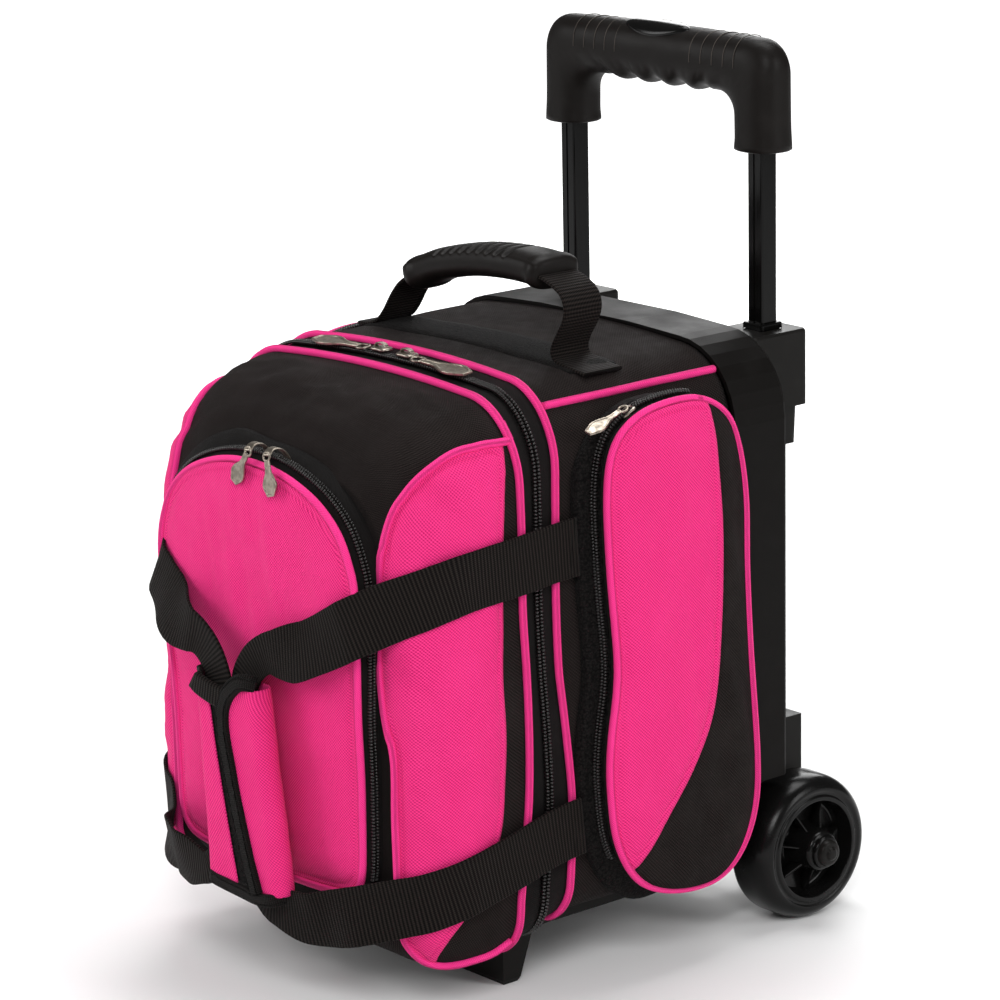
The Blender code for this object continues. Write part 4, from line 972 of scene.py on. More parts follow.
# ---------------------------------------------------------------- trim on the rear body and frame
def trim(name, points, normals, radius, material, body, step=0.004):
    path = even(curve_through(points, 10), step=step)
    ups = []
    for k in range(len(path)):
        share = k / (len(path) - 1) * (len(normals) - 1)
        low = min(int(share), len(normals) - 2)
        ups.append(Vector(normals[low]).lerp(Vector(normals[low + 1]), share - low))
    return sweep(name, path, ups, circle(radius), material, body)


for sign, side in SIDES:
    points, ups = [], []
    for k in range(9):
        y = -0.0440 + (FRAME_FRONT_Y - 0.0008 + 0.0440) * k / 8
        spot, normal = hit(REAR_SURFACE, (sign * 0.06, y, 0.330), (sign * 0.0745, 0.0, 0.0680), 0.0006)
        points.append(spot)
        ups.append(normal)
    trim(f"shoulder_cord_{side}", points, ups, PIPE, PIPING, "bag")


# ---------------------------------------------------------------- straps
STRAP_END_Y = -0.0362
STITCH_LONG = 0.0365
CORNER_LIFT = {1: 0.0074, -1: 0.0044}
LOOP_LOW = {1: 0.1000, -1: 0.1120}
LOOP_RISE = {1: 0.0, -1: 0.0100}
# The two bends of each strap's loop: centre x, centre z, radius; and how far its inner edge stays from the middle.
LOOP_TOP_BEND, LOOP_LOW_BEND, LOOP_INNER = (0.048, 0.202, 0.040), (0.042, 0.034), 0.0080


def strap_line(sign, depth):
    """Centre line of one strap from its upper sewn end round the front to its lower one."""
    def corner(angle, z):
        way = math.radians(angle)
        spot, _ = hit(FRONT_SURFACE, (sign * CORNER_X, CORNER_Y, z), (sign * math.cos(way), -math.sin(way), 0),
                      CORNER_LIFT[sign])
        return sign * spot.x, spot.y, z

    upper = [(0.1520, STRAP_END_Y, 0.3030), (0.1520, -0.0600, 0.3015), (0.1517, -0.0850, 0.2990)]
    upper += [corner(a, z) for a, z in ((8, 0.2955), (27, 0.2915), (46, 0.2860), (64, 0.2795))]
    snug = 0.0 if sign > 0 else 0.0042
    upper += [(0.1060, -0.1878 + snug, 0.2685), (0.0960, -0.1918 + snug, 0.2625), (0.0800, -0.1950 + snug / 3, 0.2540),
              (0.0640, (depth - 0.1936) / 2 - 0.0010, 0.2465)]
    def bend(x, z, radius, first, sweep_by):
        ways = [math.radians(first + sweep_by * k / 6) for k in range(7)]
        return [(x + radius * math.cos(way), depth, z + radius * math.sin(way)) for way in ways]

    low_x, low_radius = LOOP_LOW_BEND
    loop = bend(*LOOP_TOP_BEND, 95, 85) + [(LOOP_INNER, depth, z) for z in (0.176, 0.151, 0.126)]
    loop += bend(low_x, LOOP_LOW[sign], low_radius, 180, 75)
    lower = [(x, y, z + (LOOP_LOW[sign] - 0.100)) for x, y, z in ((0.0640, depth + 0.0030, 0.0665),
                                                                (0.0800, depth + 0.0085, 0.0690))]
    lower += [(0.1000, -0.1862, 0.0745 + LOOP_RISE[sign] * 0.6)]
    lower += [corner(a, z + LOOP_RISE[sign]) for a, z in ((64, 0.0815), (46, 0.0855), (27, 0.0900), (8, 0.0950))]
    lower += [(0.1517, -0.0850, 0.1050), (0.1520, -0.0600, 0.1110), (0.1520, -0.0350, 0.1140)]
    return [(sign * x, y, z) for x, y, z in upper + loop + lower]


def strap_facing(sign, p):
    """Outward normal of the webbing at a point of its line."""
    out, ahead = max(0.0, abs(p.x) - CORNER_X), max(0.0, CORNER_Y - p.y)
    if out == 0.0 and ahead == 0.0:
        facing = Vector((sign, 0, 0))
    else:
        facing = Vector((sign * out, -ahead, 0.0)).normalized()
    dip = math.exp(-((abs(p.x) - 0.070) / 0.020) ** 2) * smoothstep((-p.y - 0.185) / 0.010)
    lean_to = 0.30 if p.z > 0.15 else -0.25
    return (facing + Vector((0, 0, lean_to * dip))).normalized()


for (sign, side), depth in zip(SIDES, (-0.2005, -0.2062)):
    path = even(curve_through(strap_line(sign, depth), 8), step=0.0042)
    across = []
    for k, p in enumerate(path):
        across.append(strap_facing(sign, p).cross(heading(path, k)))
    gathered = [1.0 - (0.34 if p.z > 0.15 else 0.46) * smoothstep((0.064 - abs(p.x)) / 0.038) for p in path]
    strap = sweep(f"strap_web_{side}", path, across, slab(WEB, WEB_HALF_THICK), WEBBING, f"strap_{side}",
                  scale=lambda t: (gathered[round(t * (len(gathered) - 1))], 1.0))
    for v in strap.data.vertices:
        v.co += strap_facing(sign, v.co) * wrinkle((v.co.x + v.co.z * 0.4, v.co.y, v.co.z), 0.055, 0.0011, 41.0 + sign)
    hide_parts(f"strap_{side}")
    for z in (0.3035, 0.1145):
        for off in (0.0028, 0.0062):
            run = [Vector((sign * 0.15290, STRAP_END_Y - off, z + t * STITCH_LONG - STITCH_LONG / 2))
                   for t in (0.0, 0.25, 0.5, 0.75, 1.0)]
            sweep(f"strap_stitch_{side}_{'top' if z > 0.2 else 'low'}_{int(off * 10000)}", run,
                  [Vector((sign, 0, 0))] * 5, circle(0.00035, 6), THREAD, f"strap_{side}")


# ---------------------------------------------------------------- hand wrap
WRAP_BODY = "strap_left"
WRAP_LOW = 0.0800
WRAP_BACK, WRAP_FRONT = -0.1955, -0.2118
WRAP_FOLD = 0.0060


def wrap_left(z):
    return table(((0.078, -0.0235), (0.110, -0.0255), (0.160, -0.0285), (0.226, -0.0310)), z)


def wrap_right(z):
    return table(((0.078, 0.0540), (0.110, 0.0510), (0.160, 0.0430), (0.226, 0.0340)), z)


def bound_edge(z):
    return table(((0.078, 0.0330), (0.100, 0.0250), (0.130, 0.0160), (0.160, 0.0080), (0.185, 0.0025),
                  (0.200, 0.0030), (0.210, 0.0080), (0.218, 0.0160), (0.2245, 0.0290)), z)


def velcro_edge(z):
    return table(((0.078, 0.0120), (0.130, 0.0000), (0.180, -0.0100), (0.226, -0.0170)), z)


def wrap_levels(low, high, count):
    return [low + (high - low) * k / (count - 1) for k in range(count)]


def folded_sheet(name, levels, section, material, thick=0.0016, columns=26):
    """Sheet through one open (x, y) section per height."""
    rows = [even([Vector((x, y, z)) for x, y in section(z)], count=columns) for z in levels]
    flat, verts = [], []
    for row, z in zip(rows, levels):
        run = 0.0
        for k, p in enumerate(row):
            if k:
                run += (p - row[k - 1]).length
            fold = wrinkle((run, z * 0.5, 0.0), 0.018, 0.0006, 51.0)
            verts.append(p + Vector((0.0, -fold * smoothstep(run / 0.01), 0.0)))
            flat.append((run, z))
    obj = piece(name, verts, grid_faces(len(rows), columns), material, WRAP_BODY, flat)
    tidy_normals(obj)
    modifier(obj, "SOLIDIFY", thickness=thick, offset=0.0)
    modifier(obj, "SUBSURF", levels=1, render_levels=1)
    return obj


def turn_section(edge_x, side_x, back_x, front_y, lifted):
    """Open section: from an edge at the front, round one side, to the back."""
    sign = 1 if side_x > edge_x else -1
    reach = smoothstep((abs(side_x - edge_x) - 0.004) / 0.030)
    points = [(edge_x, front_y - lifted), (edge_x + sign * 0.006 * reach, front_y - lifted * 0.55),
              (edge_x + sign * 0.013 * reach, front_y)]
    for k in range(7):
        angle = math.radians(90 - 30 * k)
        points.append((side_x - sign * WRAP_FOLD + sign * WRAP_FOLD * math.cos(angle),
                       (front_y + WRAP_BACK) / 2 - (WRAP_BACK - front_y) / 2 * math.sin(angle)))
    points.append((back_x, WRAP_BACK))
    return points


wrap_pink_left = folded_sheet("wrap_flap_left", wrap_levels(WRAP_LOW, 0.2100, 26),
                              lambda z: turn_section(velcro_edge(z), wrap_left(z), 0.004, WRAP_FRONT, 0.0004),
                              PINK)
wrap_pink_right = folded_sheet("wrap_flap_right", wrap_levels(WRAP_LOW, 0.2168, 28),
                               lambda z: turn_section(bound_edge(z), wrap_right(z), 0.004, WRAP_FRONT - 0.0004,
                                                      0.0028), PINK)
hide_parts("hand_wrap")


def velcro_section(z):
    left, right_edge = velcro_edge(z) - 0.003, bound_edge(z) + 0.010
    return [(left + (right_edge - left) * k / 4, WRAP_FRONT + 0.0018) for k in range(5)]


folded_sheet("wrap_velcro", wrap_levels(WRAP_LOW + 0.001, 0.2120, 20), velcro_section, NUBBY,
             0.0022)


def bound(name, points, width, thick, material=BINDING):
    """Folded edge tape along the front of the wrap."""
    path = even(curve_through(points, 8), step=0.0035)
    across = [Vector((0, -1, 0)).cross(heading(path, k)) for k in range(len(path))]
    return sweep(name, path, across, slab(width / 2, thick / 2, 3), material, WRAP_BODY)


edge_points = [(bound_edge(z) + 0.0020, WRAP_FRONT - 0.0032, z)
               for z in (0.0800, 0.100, 0.120, 0.140, 0.160, 0.178, 0.190, 0.200, 0.208, 0.214)]
edge_points += [(0.0210, WRAP_FRONT - 0.0026, 0.2200), (0.0280, WRAP_FRONT - 0.0010, 0.2215),
                (0.0330, WRAP_FRONT + 0.0030, 0.2200)]
bound("wrap_edge_binding", edge_points, 0.0118, 0.0052)
low_points = [(wrap_left(0.08) + 0.002, WRAP_BACK - 0.006, 0.0805), (wrap_left(0.08) + 0.005, WRAP_FRONT, 0.0790),
              (-0.010, WRAP_FRONT - 0.0006, 0.0775), (0.014, WRAP_FRONT - 0.0012, 0.0765),
              (0.034, WRAP_FRONT - 0.0026, 0.0765), (0.047, WRAP_FRONT - 0.0012, 0.0780),
              (0.0525, WRAP_FRONT + 0.0060, 0.0800)]
bound("wrap_low_binding", low_points, 0.0090, 0.0036)
top_points = [(wrap_left(0.21) + 0.0005, WRAP_BACK - 0.006, 0.2120),
              (wrap_left(0.21) + 0.004, WRAP_FRONT - 0.0004, 0.2130), (-0.026, WRAP_FRONT - 0.0022, 0.2115),
              (-0.010, WRAP_FRONT - 0.0024, 0.2075), (0.0040, WRAP_FRONT - 0.0010, 0.2050)]
bound("wrap_top_fold", top_points, 0.0155, 0.0040, WEBBING)


# ---------------------------------------------------------------- carry handle
CARRY_Y = 0.018
CARRY_LINE = ((-0.1180, 0.4045), (-0.1080, 0.4055), (-0.0980, 0.4090), (-0.0900, 0.4165), (-0.0810, 0.4290),
              (-0.0720, 0.4385), (-0.0600, 0.4455), (-0.0450, 0.4520), (-0.0300, 0.4567), (0.0, 0.4625),
              (0.0300, 0.4650), (0.0550, 0.4650), (0.0720, 0.4630), (0.0850, 0.4592), (0.0950, 0.4530),
              (0.0985, 0.4445), (0.0962, 0.4355), (0.0895, 0.4250), (0.0850, 0.4165), (0.0865, 0.4100),
              (0.0960, 0.4068), (0.1180, 0.4040))
carry_path = even(curve_through([(x, CARRY_Y, z) for x, z in CARRY_LINE], 12), step=0.0030)
carry_web = sweep("carry_web", carry_path, [Vector((0, 1, 0))] * len(carry_path), slab(0.0165, 0.0012), WEBBING,
                  None)
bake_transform(carry_web)
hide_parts("carry_webbing")

GRIP_LOW, GRIP_HIGH = -0.0640, 0.0740
grip_path = even([p for p in even(carry_path, step=0.0004) if GRIP_LOW <= p.x <= GRIP_HIGH and p.z > 0.437],
                 step=0.0009)
verts, flat = [], []
SECTION = 44
CARRY_HALF_WIDE, CARRY_RISE, CARRY_DROP = 0.0196, 0.0115, 0.0105
NOTCH_PITCH, NOTCH_HALF, NOTCH_DEEP = 0.0088, 0.0017, 0.0023
for k, p in enumerate(grip_path):
    top = Vector((0, 1, 0)).cross(heading(grip_path, k))
    top = top if top.z > 0 else -top
    along = p.x - (GRIP_LOW + GRIP_HIGH) / 2
    end_gap = (GRIP_HIGH - GRIP_LOW) / 2 - abs(along)
    cuff = 1.0 + 0.07 * math.exp(-((end_gap - 0.0065) / 0.0040) ** 2)
    rounded = math.sqrt(clamp(1.0 - (1.0 - clamp(end_gap / 0.0032)) ** 2)) * 0.30 + 0.70
    notch = max(math.exp(-((along - n * NOTCH_PITCH) / NOTCH_HALF) ** 4) for n in range(-4, 5))
    for j in range(SECTION):
        angle, c, s = turn_of(j, SECTION)
        wide = bulged(c, 0.72) * CARRY_HALF_WIDE
        tall = bulged(s, 0.80) * (CARRY_RISE if s > 0 else CARRY_DROP)
        ridge = sum(0.0006 * math.exp(-((angle - math.radians(at)) / 0.10) ** 2) for at in (28, 152))
        cut = NOTCH_DEEP * notch * clamp((s - 0.42) / 0.25)
        size = cuff * rounded
        verts.append(p + Vector((0, 1, 0)) * (wide * size) + top * ((tall + ridge * 2 - cut) * size))
        flat.append((k * 0.001, j * 0.001))
faces = grid_faces(len(grip_path), SECTION, closed_cols=True)
faces += [tuple(range(SECTION)), tuple(range(len(verts) - 1, len(verts) - 1 - SECTION, -1))]
carry_rubber = piece("carry_rubber", verts, faces, RUBBER, "carry_handle", flat)
tidy_normals(carry_rubber)
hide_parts("carry_grip")


def top_height(x, y):
    spot, _ = hit(REAR_SURFACE, (x, y, 0.33), (0, 0, 1))
    return spot.z


strip_verts, strip_flat = [], []
for r in range(7):
    v = -1 + 2 * r / 6
    for c in range(70):
        x = -0.1080 + 0.2160 * c / 69
        y = CARRY_Y + v * 0.0200
        strip_verts.append((x, y, top_height(x, y) + 0.0004 + 0.0012 * (1 - v ** 6)))
        strip_flat.append((x, y))
strip = piece("top_reinforcement", strip_verts, grid_faces(7, 70), NUBBY, "bag", strip_flat)
tidy_normals(strip)
modifier(strip, "SOLIDIFY", thickness=0.0014, offset=-1.0)


# ---------------------------------------------------------------- telescopic handle grip
HANDLE_Y, HANDLE_DEEP = 0.1840, 0.0172
GRIP_ROUND = 0.84
LEG_ROWS = 14
PARTING_Z, BAR_Z, BAR_HALF = 0.5740, 0.5841, 0.0197
BUTTON_HALF = 0.0302
FOOT_Z = 0.5282
# Corner arcs of the band's outer and inner edge: centre x, centre z, radius.
OUTER_ARC, INNER_ARC = (0.0942, 0.5825, 0.0202), (0.0588, 0.5462, 0.0180)
GROOVES = (-0.0760, -0.0652, -0.0545, -0.0438, -0.0332, 0.0420, 0.0530, 0.0640, 0.0748, 0.0850)


def grip_rows():
    """(outer point, inner point) pairs across the grip's band, from the left leg's foot to the right one's."""
    half_rows = []
    for k in range(LEG_ROWS + 1):
        share = k / LEG_ROWS
        half_rows.append(((0.1150 - 0.0006 * share, FOOT_Z + 0.0543 * share),
                          (0.0768 + 0.0004 * (1 - share), FOOT_Z + 0.0180 * share)))
    for k in range(1, 17):
        angle = math.radians(90.0 * k / 16)
        half_rows.append(tuple((x + radius * math.cos(angle), z + radius * math.sin(angle))
                               for x, z, radius in (OUTER_ARC, INNER_ARC)))
    steps = 92
    for k in range(1, steps + 1):
        share = k / steps
        outer_x, inner_x = OUTER_ARC[0] * (1 - share), INNER_ARC[0] * (1 - share)
        crown = 0.6027 + 0.0016 * (1 - (outer_x / OUTER_ARC[0]) ** 2)
        finger_wave = 0.0019 * math.sin(math.pi * 2 * inner_x / 0.0240 + 1.6) * smoothstep((0.0560 - inner_x) / 0.008)
        half_rows.append(((outer_x, crown), (inner_x, 0.5642 + finger_wave)))
    return [((-o[0], o[1]), (-i[0], i[1])) for o, i in half_rows] + [(o, i) for o, i in reversed(half_rows[:-1])]


AROUND = 44
verts, flat = [], []
bands = grip_rows()
for k, (outer, inner) in enumerate(bands):
    o, i = Vector((outer[0], 0.0, outer[1])), Vector((inner[0], 0.0, inner[1]))
    middle, reach = (o + i) / 2, (o - i) / 2
    foot = min(k, len(bands) - 1 - k)
    flare = 1.0 + 0.035 * math.exp(-(foot / 3.0) ** 2)
    for j in range(AROUND):
        _, c, s = turn_of(j, AROUND)
        across, deep = bulged(c, GRIP_ROUND), bulged(s, GRIP_ROUND)
        spot = middle + reach * across * flare
        spot.y = HANDLE_Y - deep * HANDLE_DEEP * flare
        if abs(s) > 0.7 and foot > LEG_ROWS:
            outward_way = Vector((reach.x * across, -deep * HANDLE_DEEP, reach.z * across)).normalized()
            spot -= outward_way * (0.0005 * math.exp(-((spot.z - PARTING_Z) / 0.0006) ** 2))
        verts.append(spot)
        flat.append((k * 0.001, j * 0.001))
faces = grid_faces(len(bands), AROUND, closed_cols=True)
handle = piece("handle_grip", verts, faces, RUBBER, "inner_stage", flat)
work = bmesh.new()
work.from_mesh(handle.data)
loops = [e for e in work.edges if e.is_boundary]
for face in bmesh.ops.holes_fill(work, edges=loops, sides=0)["faces"]:
    bmesh.ops.inset_region(work, faces=[face], thickness=0.0016, depth=0.0009)
work.to_mesh(handle.data)
work.free()
tidy_normals(handle)
handle.data.shade_smooth()
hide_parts("grip_lower_shell", "grip_upper_shell")

# Thin raised beads stand in for the grip's engraved grooves. Their light colour is a painted highlight copying the lit
# edges of the grooves; the rubber itself is the dark RUBBER colour.
GROOVE_HIGHLIGHT = moulded("grip_groove_highlight", (0.050, 0.042, 0.036), 0.5, 0.0005, 0.00006, 0.05, 0.0, 0.2)
for k, x in enumerate(GROOVES):
    mark = []
    for n in range(26):
        angle = math.radians(62 + (192 - 62) * n / 25)
        c, s = -math.cos(angle), math.sin(angle)
        across, deep = bulged(s, GRIP_ROUND), bulged(c, GRIP_ROUND)
        mark.append(Vector((x, HANDLE_Y - deep * (HANDLE_DEEP + 0.00005), BAR_Z + BAR_HALF * across)))
    mark = [p for p in mark if p.z > 0.5825]
    sweep(f"groove_highlight_bead_{k}", mark, [Vector((1, 0, 0))] * len(mark), circle(0.00030, 6), GROOVE_HIGHLIGHT, "inner_stage")

# Lens-shaped push button that follows the grip's round top and front.
verts, flat = [], []
levels = ((1.08, -0.0030), (1.05, -0.0004), (1.00, 0.0008), (0.93, 0.0014), (0.75, 0.0018), (0.45, 0.0021),
          (0.12, 0.0022))
COUNT = 56
for scale, rise in levels:
    for j in range(COUNT):
        _, c, s = turn_of(j, COUNT)
        x = BUTTON_HALF * c * scale
        turn = math.radians(20.0 + 35.0 * s * scale * (1.0 - 0.30 * c * c))
        across, deep = bulged(math.cos(turn), GRIP_ROUND), bulged(math.sin(turn), GRIP_ROUND)
        verts.append((x, HANDLE_Y - deep * (HANDLE_DEEP + rise), 0.5843 + across * (0.0201 + rise)))
        flat.append((x, turn * 0.02))
faces = grid_faces(len(levels), COUNT, closed_cols=True)
faces.append(tuple(range((len(levels) - 1) * COUNT, len(levels) * COUNT)))
button = piece("push_button", verts, faces, GLOSS, "release_button", flat)
tidy_normals(button)
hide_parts("release_button")


# ---------------------------------------------------------------- wheels
def lathe(name, sign, profile, material, body, segments=96):
    """Ring turned about the axle from (x, radius) points."""
    verts, flat = [], []
    for x, radius in profile:
        for j in range(segments):
            angle, c, s = turn_of(j, segments)
            verts.append((sign * x, AXLE_Y + radius * c, AXLE_Z + radius * s))
            flat.append((angle * 0.05, x))
    obj = piece(name, verts, grid_faces(len(profile), segments, closed_cols=True), material, body, flat)
    tidy_normals(obj)
    return obj


def rounded(points, radius, steps=5):
    """Rounds the corners of an open (x, r) profile."""
    result = [Vector(points[0])]
    for a, b, c in zip(points, points[1:], points[2:]):
        a, b, c = Vector(a), Vector(b), Vector(c)
        cut = min(radius, (a - b).length * 0.45, (c - b).length * 0.45)
        p, q = b + (a - b).normalized() * cut, b + (c - b).normalized() * cut
        for k in range(steps + 1):
            t = k / steps
            result.append(p * (1 - t) ** 2 + b * 2 * t * (1 - t) + q * t * t)
    return result + [Vector(points[-1])]


AXLE_Y, AXLE_Z = 0.1700, 0.0508
for sign, side in SIDES:
    body = f"wheel_{side}"
    tyre = [(0.1275, 0.0345), (0.1275, 0.0440)]
    tyre += [(0.1335 - 0.0060 * math.cos(math.radians(t)), 0.0448 + 0.0060 * math.sin(math.radians(t)))
             for t in range(0, 91, 15)]
    tyre += [(0.1470, 0.0508)]
    tyre += [(0.1470 + 0.0150 * math.sin(math.radians(t)), 0.0416 + 0.0092 * math.cos(math.radians(t)))
             for t in range(8, 91, 8)]
    tyre = [Vector(p) for p in tyre]
    tyre += rounded([(0.1620, 0.0412), (0.1612, 0.0396), (0.1612, 0.0380), (0.1622, 0.0372), (0.1624, 0.0342),
                     (0.1606, 0.0338), (0.1480, 0.0326)], 0.0007, 3)
    shown = lathe(f"wheel_tread_{side}", sign, tyre, TREAD, body)
    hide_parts(f"tyre_{side}")

    dish = rounded([(0.1500, 0.0332), (0.1472, 0.0310), (0.1468, 0.0175), (0.1500, 0.0160), (0.1660, 0.0142),
                    (0.1682, 0.0132), (0.1686, 0.0116), (0.1720, 0.0112), (0.1724, 0.0090)], 0.0010, 3)
    disc = lathe(f"wheel_dish_{side}", sign, dish, GLOSS, body)
    back = rounded([(0.1275, 0.0350), (0.1290, 0.0300), (0.1290, 0.0120), (0.1310, 0.0080)], 0.0008, 3)
    lathe(f"wheel_back_{side}", sign, back, GLOSS, body)
    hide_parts(f"wheel_rim_{side}")
    cap = rounded([(0.1700, 0.0098), (0.1728, 0.0094), (0.1755, 0.0086), (0.1762, 0.0070), (0.1764, 0.0046),
                   (0.1778, 0.0042), (0.1784, 0.0030), (0.1785, 0.0001)], 0.0007, 3)
    cap_piece = lathe(f"wheel_cap_{side}", sign, cap, PLASTIC, body, 48)
    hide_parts(f"hub_cap_{side}")
    for n in range(7):
        angle = 2 * math.pi * (n + 0.25) / 7
        way = Vector((0.0, math.cos(angle), math.sin(angle)))
        wide = Vector((0.0, -math.sin(angle), math.cos(angle)))
        rib, rib_flat = [], []
        for r in range(12):
            run = 0.0140 + (0.0329 - 0.0140) * r / 11
            crest = 0.1600 - 0.0085 * r / 11
            for half, x in ((0.00110, 0.1460), (0.0008, crest - 0.0012), (0.0004, crest), (-0.0004, crest),
                            (-0.0008, crest - 0.0012), (-0.00110, 0.1460)):
                rib.append(Vector((sign * x, AXLE_Y, AXLE_Z)) + way * run + wide * half)
                rib_flat.append((run, x))
        blade = piece(f"wheel_rib_{side}_{n}", rib, grid_faces(12, 6, closed_cols=True), GLOSS, body,
                      rib_flat)
        tidy_normals(blade)


# ---------------------------------------------------------------- zipper sliders and pulls
PULL_SHAPE = ((0.16, 0.30), (0.22, 0.34), (0.30, 0.36), (0.38, 0.34), (0.46, 0.42), (0.54, 0.62), (0.62, 0.84),
              (0.70, 0.97), (0.76, 1.00), (0.82, 0.93), (0.88, 0.78), (0.94, 0.62), (1.00, 0.46))


def pull_tab(name, hinge, direction, normal, length, width, thick, body, replaced):
    """Bottle-shaped cast tab with a raised rim round a sunk face, and a ring link at its hinge."""
    hinge, direction, normal = Vector(hinge), Vector(direction).normalized(), Vector(normal).normalized()
    across = direction.cross(normal)
    outline = [(run * length, half * width / 2) for run, half in PULL_SHAPE]
    loop = outline + [(run, -half) for run, half in reversed(outline)]
    middle = (sum(p[0] for p in loop) / len(loop), 0.0)
    count = len(loop)

    def shrunk(amount):
        result = []
        for k, (u, v) in enumerate(loop):
            a, b = loop[k - 1], loop[(k + 1) % count]
            du, dv = b[0] - a[0], b[1] - a[1]
            size = math.hypot(du, dv)
            side = Vector((dv, -du)) / size
            if side.dot(Vector((middle[0] - u, -v))) < 0:
                side = -side
            result.append((u + side.x * amount, v + side.y * amount))
        return result

    edge = width * 0.10
    levels = ((shrunk(0.0003), -thick / 2), (loop, -thick / 4), (loop, thick / 4), (shrunk(0.0003), thick / 2),
              (shrunk(edge), thick / 2), (shrunk(edge + 0.0003), thick * 0.22))
    verts = [hinge + direction * u + across * v + normal * level for ring, level in levels for u, v in ring]
    faces = grid_faces(len(levels), count, closed_cols=True)
    faces.append(tuple(range(count)))
    faces.append(tuple(range((len(levels) - 1) * count, len(levels) * count)))
    tab = piece(name, verts, faces, PEWTER, body, [(0.0, 0.0)] * len(verts), smooth=False)
    tidy_normals(tab)
    modifier(tab, "BEVEL", width=0.00025, segments=2, limit_method="ANGLE", angle_limit=math.radians(40))
    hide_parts(replaced)
    ring_path = []
    for k in range(28):
        _, c, s = turn_of(k, 28)
        ring_path.append(hinge + direction * (length * 0.095 + length * 0.095 * c) + across * (width * 0.24 * s))
    sweep(name + "_ring", ring_path, [normal] * 28, circle(max(0.0006, thick * 0.42), 8), PEWTER, body,
          closed=True)


def slider_body(name, centre, along, normal, length, width, height, body, replaced):
    """Bridge slider: waisted base plate with a loop over its middle."""
    centre, along, normal = Vector(centre), Vector(along).normalized(), Vector(normal).normalized()
    across = along.cross(normal)
    verts = []
    rings = ((0.86, 0.0), (1.0, height * 0.12), (1.0, height * 0.34), (0.88, height * 0.46))
    count = 24
    for scale, level in rings:
        for k in range(count):
            _, c, s = turn_of(k, count)
            u = bulged(c, 0.6) * length / 2 * scale
            waist = 1.0 - 0.16 * math.exp(-(u / (length * 0.16)) ** 2)
            v = bulged(s, 0.6) * width / 2 * scale * waist
            verts.append(centre + along * u + across * v + normal * level)
    faces = grid_faces(len(rings), count, closed_cols=True)
    faces += [tuple(range(count)), tuple(range((len(rings) - 1) * count, len(rings) * count))]
    base = piece(name, verts, faces, STEEL, body, [(0.0, 0.0)] * len(verts))
    tidy_normals(base)
    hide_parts(replaced)
    path = []
    for k in range(15):
        angle = math.pi * k / 14
        path.append(centre + along * (-length * 0.34 * math.cos(angle))
                    + normal * (height * 0.36 + height * 0.62 * math.sin(angle) ** 0.7))
    sweep(name + "_loop", path, [across] * 15, slab(width * 0.16, height * 0.10, 2), STEEL, body)


def middle_of(name):
    low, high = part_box(name)
    return (Vector(low) + Vector(high)) / 2, Vector(low), Vector(high)


for sign, side in SIDES:
    centre, low, high = middle_of(f"main_slider_{side}")
    slider_body(f"main_slide_{side}", (centre.x, centre.y, low.z), (1, 0, 0), (0, 0, 1), 0.0160, 0.0112, high.z - low.z,
                f"main_slider_{side}", f"main_slider_{side}")
    centre, low, high = middle_of(f"main_pull_{side}")
    hinge_x = (low.x if sign > 0 else high.x) - sign * 0.0012
    pull_tab(f"main_tab_{side}", (hinge_x, centre.y - 0.0035, centre.z - 0.0022), (sign, 0, -0.03), (0, -0.10, 1),
             0.0560, 0.0172, 0.0022, f"main_pull_{side}", f"main_pull_{side}")
    along, normal = Vector((0, 0.878, 0.479)), Vector((0, -0.479, 0.878))
    slider_body(f"side_slide_{side}", Vector((sign * 0.1575, 0.0045, 0.3838)) + normal * 0.0014, along, normal, 0.0120,
                0.0072, 0.0046, f"side_flap_{side}", f"side_slider_{side}")
    pull_tab(f"side_tab_{side}", (sign * 0.1590, 0.0010, 0.3902), (0, -0.943, -0.333), (sign * 0.30, -0.32, 0.90),
             0.0360, 0.0110, 0.0018, f"side_pull_{side}", f"side_pull_{side}")
    centre, low, high = middle_of(f"front_slider_{side}")
    pull_x = 0.0245 if sign > 0 else 0.0050
    slider_body(f"front_slide_{side}", (pull_x, centre.y, low.z + 0.0010), (1, 0, 0), (0, -0.25, 0.97), 0.0110, 0.0078,
                0.0056, "front_flap", f"front_slider_{side}")
    hang = (-0.50, -0.10, -0.86) if sign < 0 else (0.27, -0.10, -0.95)
    pull_tab(f"front_tab_{side}", (pull_x + 0.0010 - sign * 0.0010, -0.1880, 0.3690), hang, (0.0, -0.99, 0.12),
             0.0285, 0.0136, 0.0018, f"front_pull_{side}", f"front_pull_{side}")
    link = curve_through([(pull_x, -0.1700, 0.3606), (pull_x, -0.1730, 0.3660), (pull_x, -0.1780, 0.3700),
                          (pull_x, -0.1840, 0.3705), (pull_x + 0.0010, -0.1885, 0.3672)], 6)
    sweep(f"front_link_{side}", link, [Vector((1, 0, 0))] * len(link), slab(0.0034, 0.0006, 2), PEWTER,
          f"front_pull_{side}")


# ---------------------------------------------------------------- CAD parts that stay
def dress(names, material, width=0.0008, segments=2):
    for name in names:
        obj = NODES[name]
        for index in range(len(obj.data.materials)):
            obj.data.materials[index] = material
        if not obj.data.materials:
            obj.data.materials.append(material)
        if width:
            modifier(obj, "BEVEL", width=width, segments=segments, limit_method="ANGLE", angle_limit=math.radians(32),
                     harden_normals=False)


def both(*stems):
    return [f"{stem}_{side}" for stem in stems for _, side in SIDES]


dress(["back_frame"], FRAME, 0.0012, 3)
dress(["base_board"], PLASTIC, 0.0010)
dress(both("tube_socket", "lower_bracket", "front_foot"), PLASTIC, 0.0010, 3)
dress(both("outer_tube", "mid_tube", "inner_tube"), TUBE, 0.0003)
dress(["release_yoke"] + both("lock_pin"), GLOSS, 0.0003)
dress(["axle"], STEEL, 0.0003)
dress(["button_spring"], STEEL, 0.0)
dress(["ball_cup"], FOAM, 0.0010)


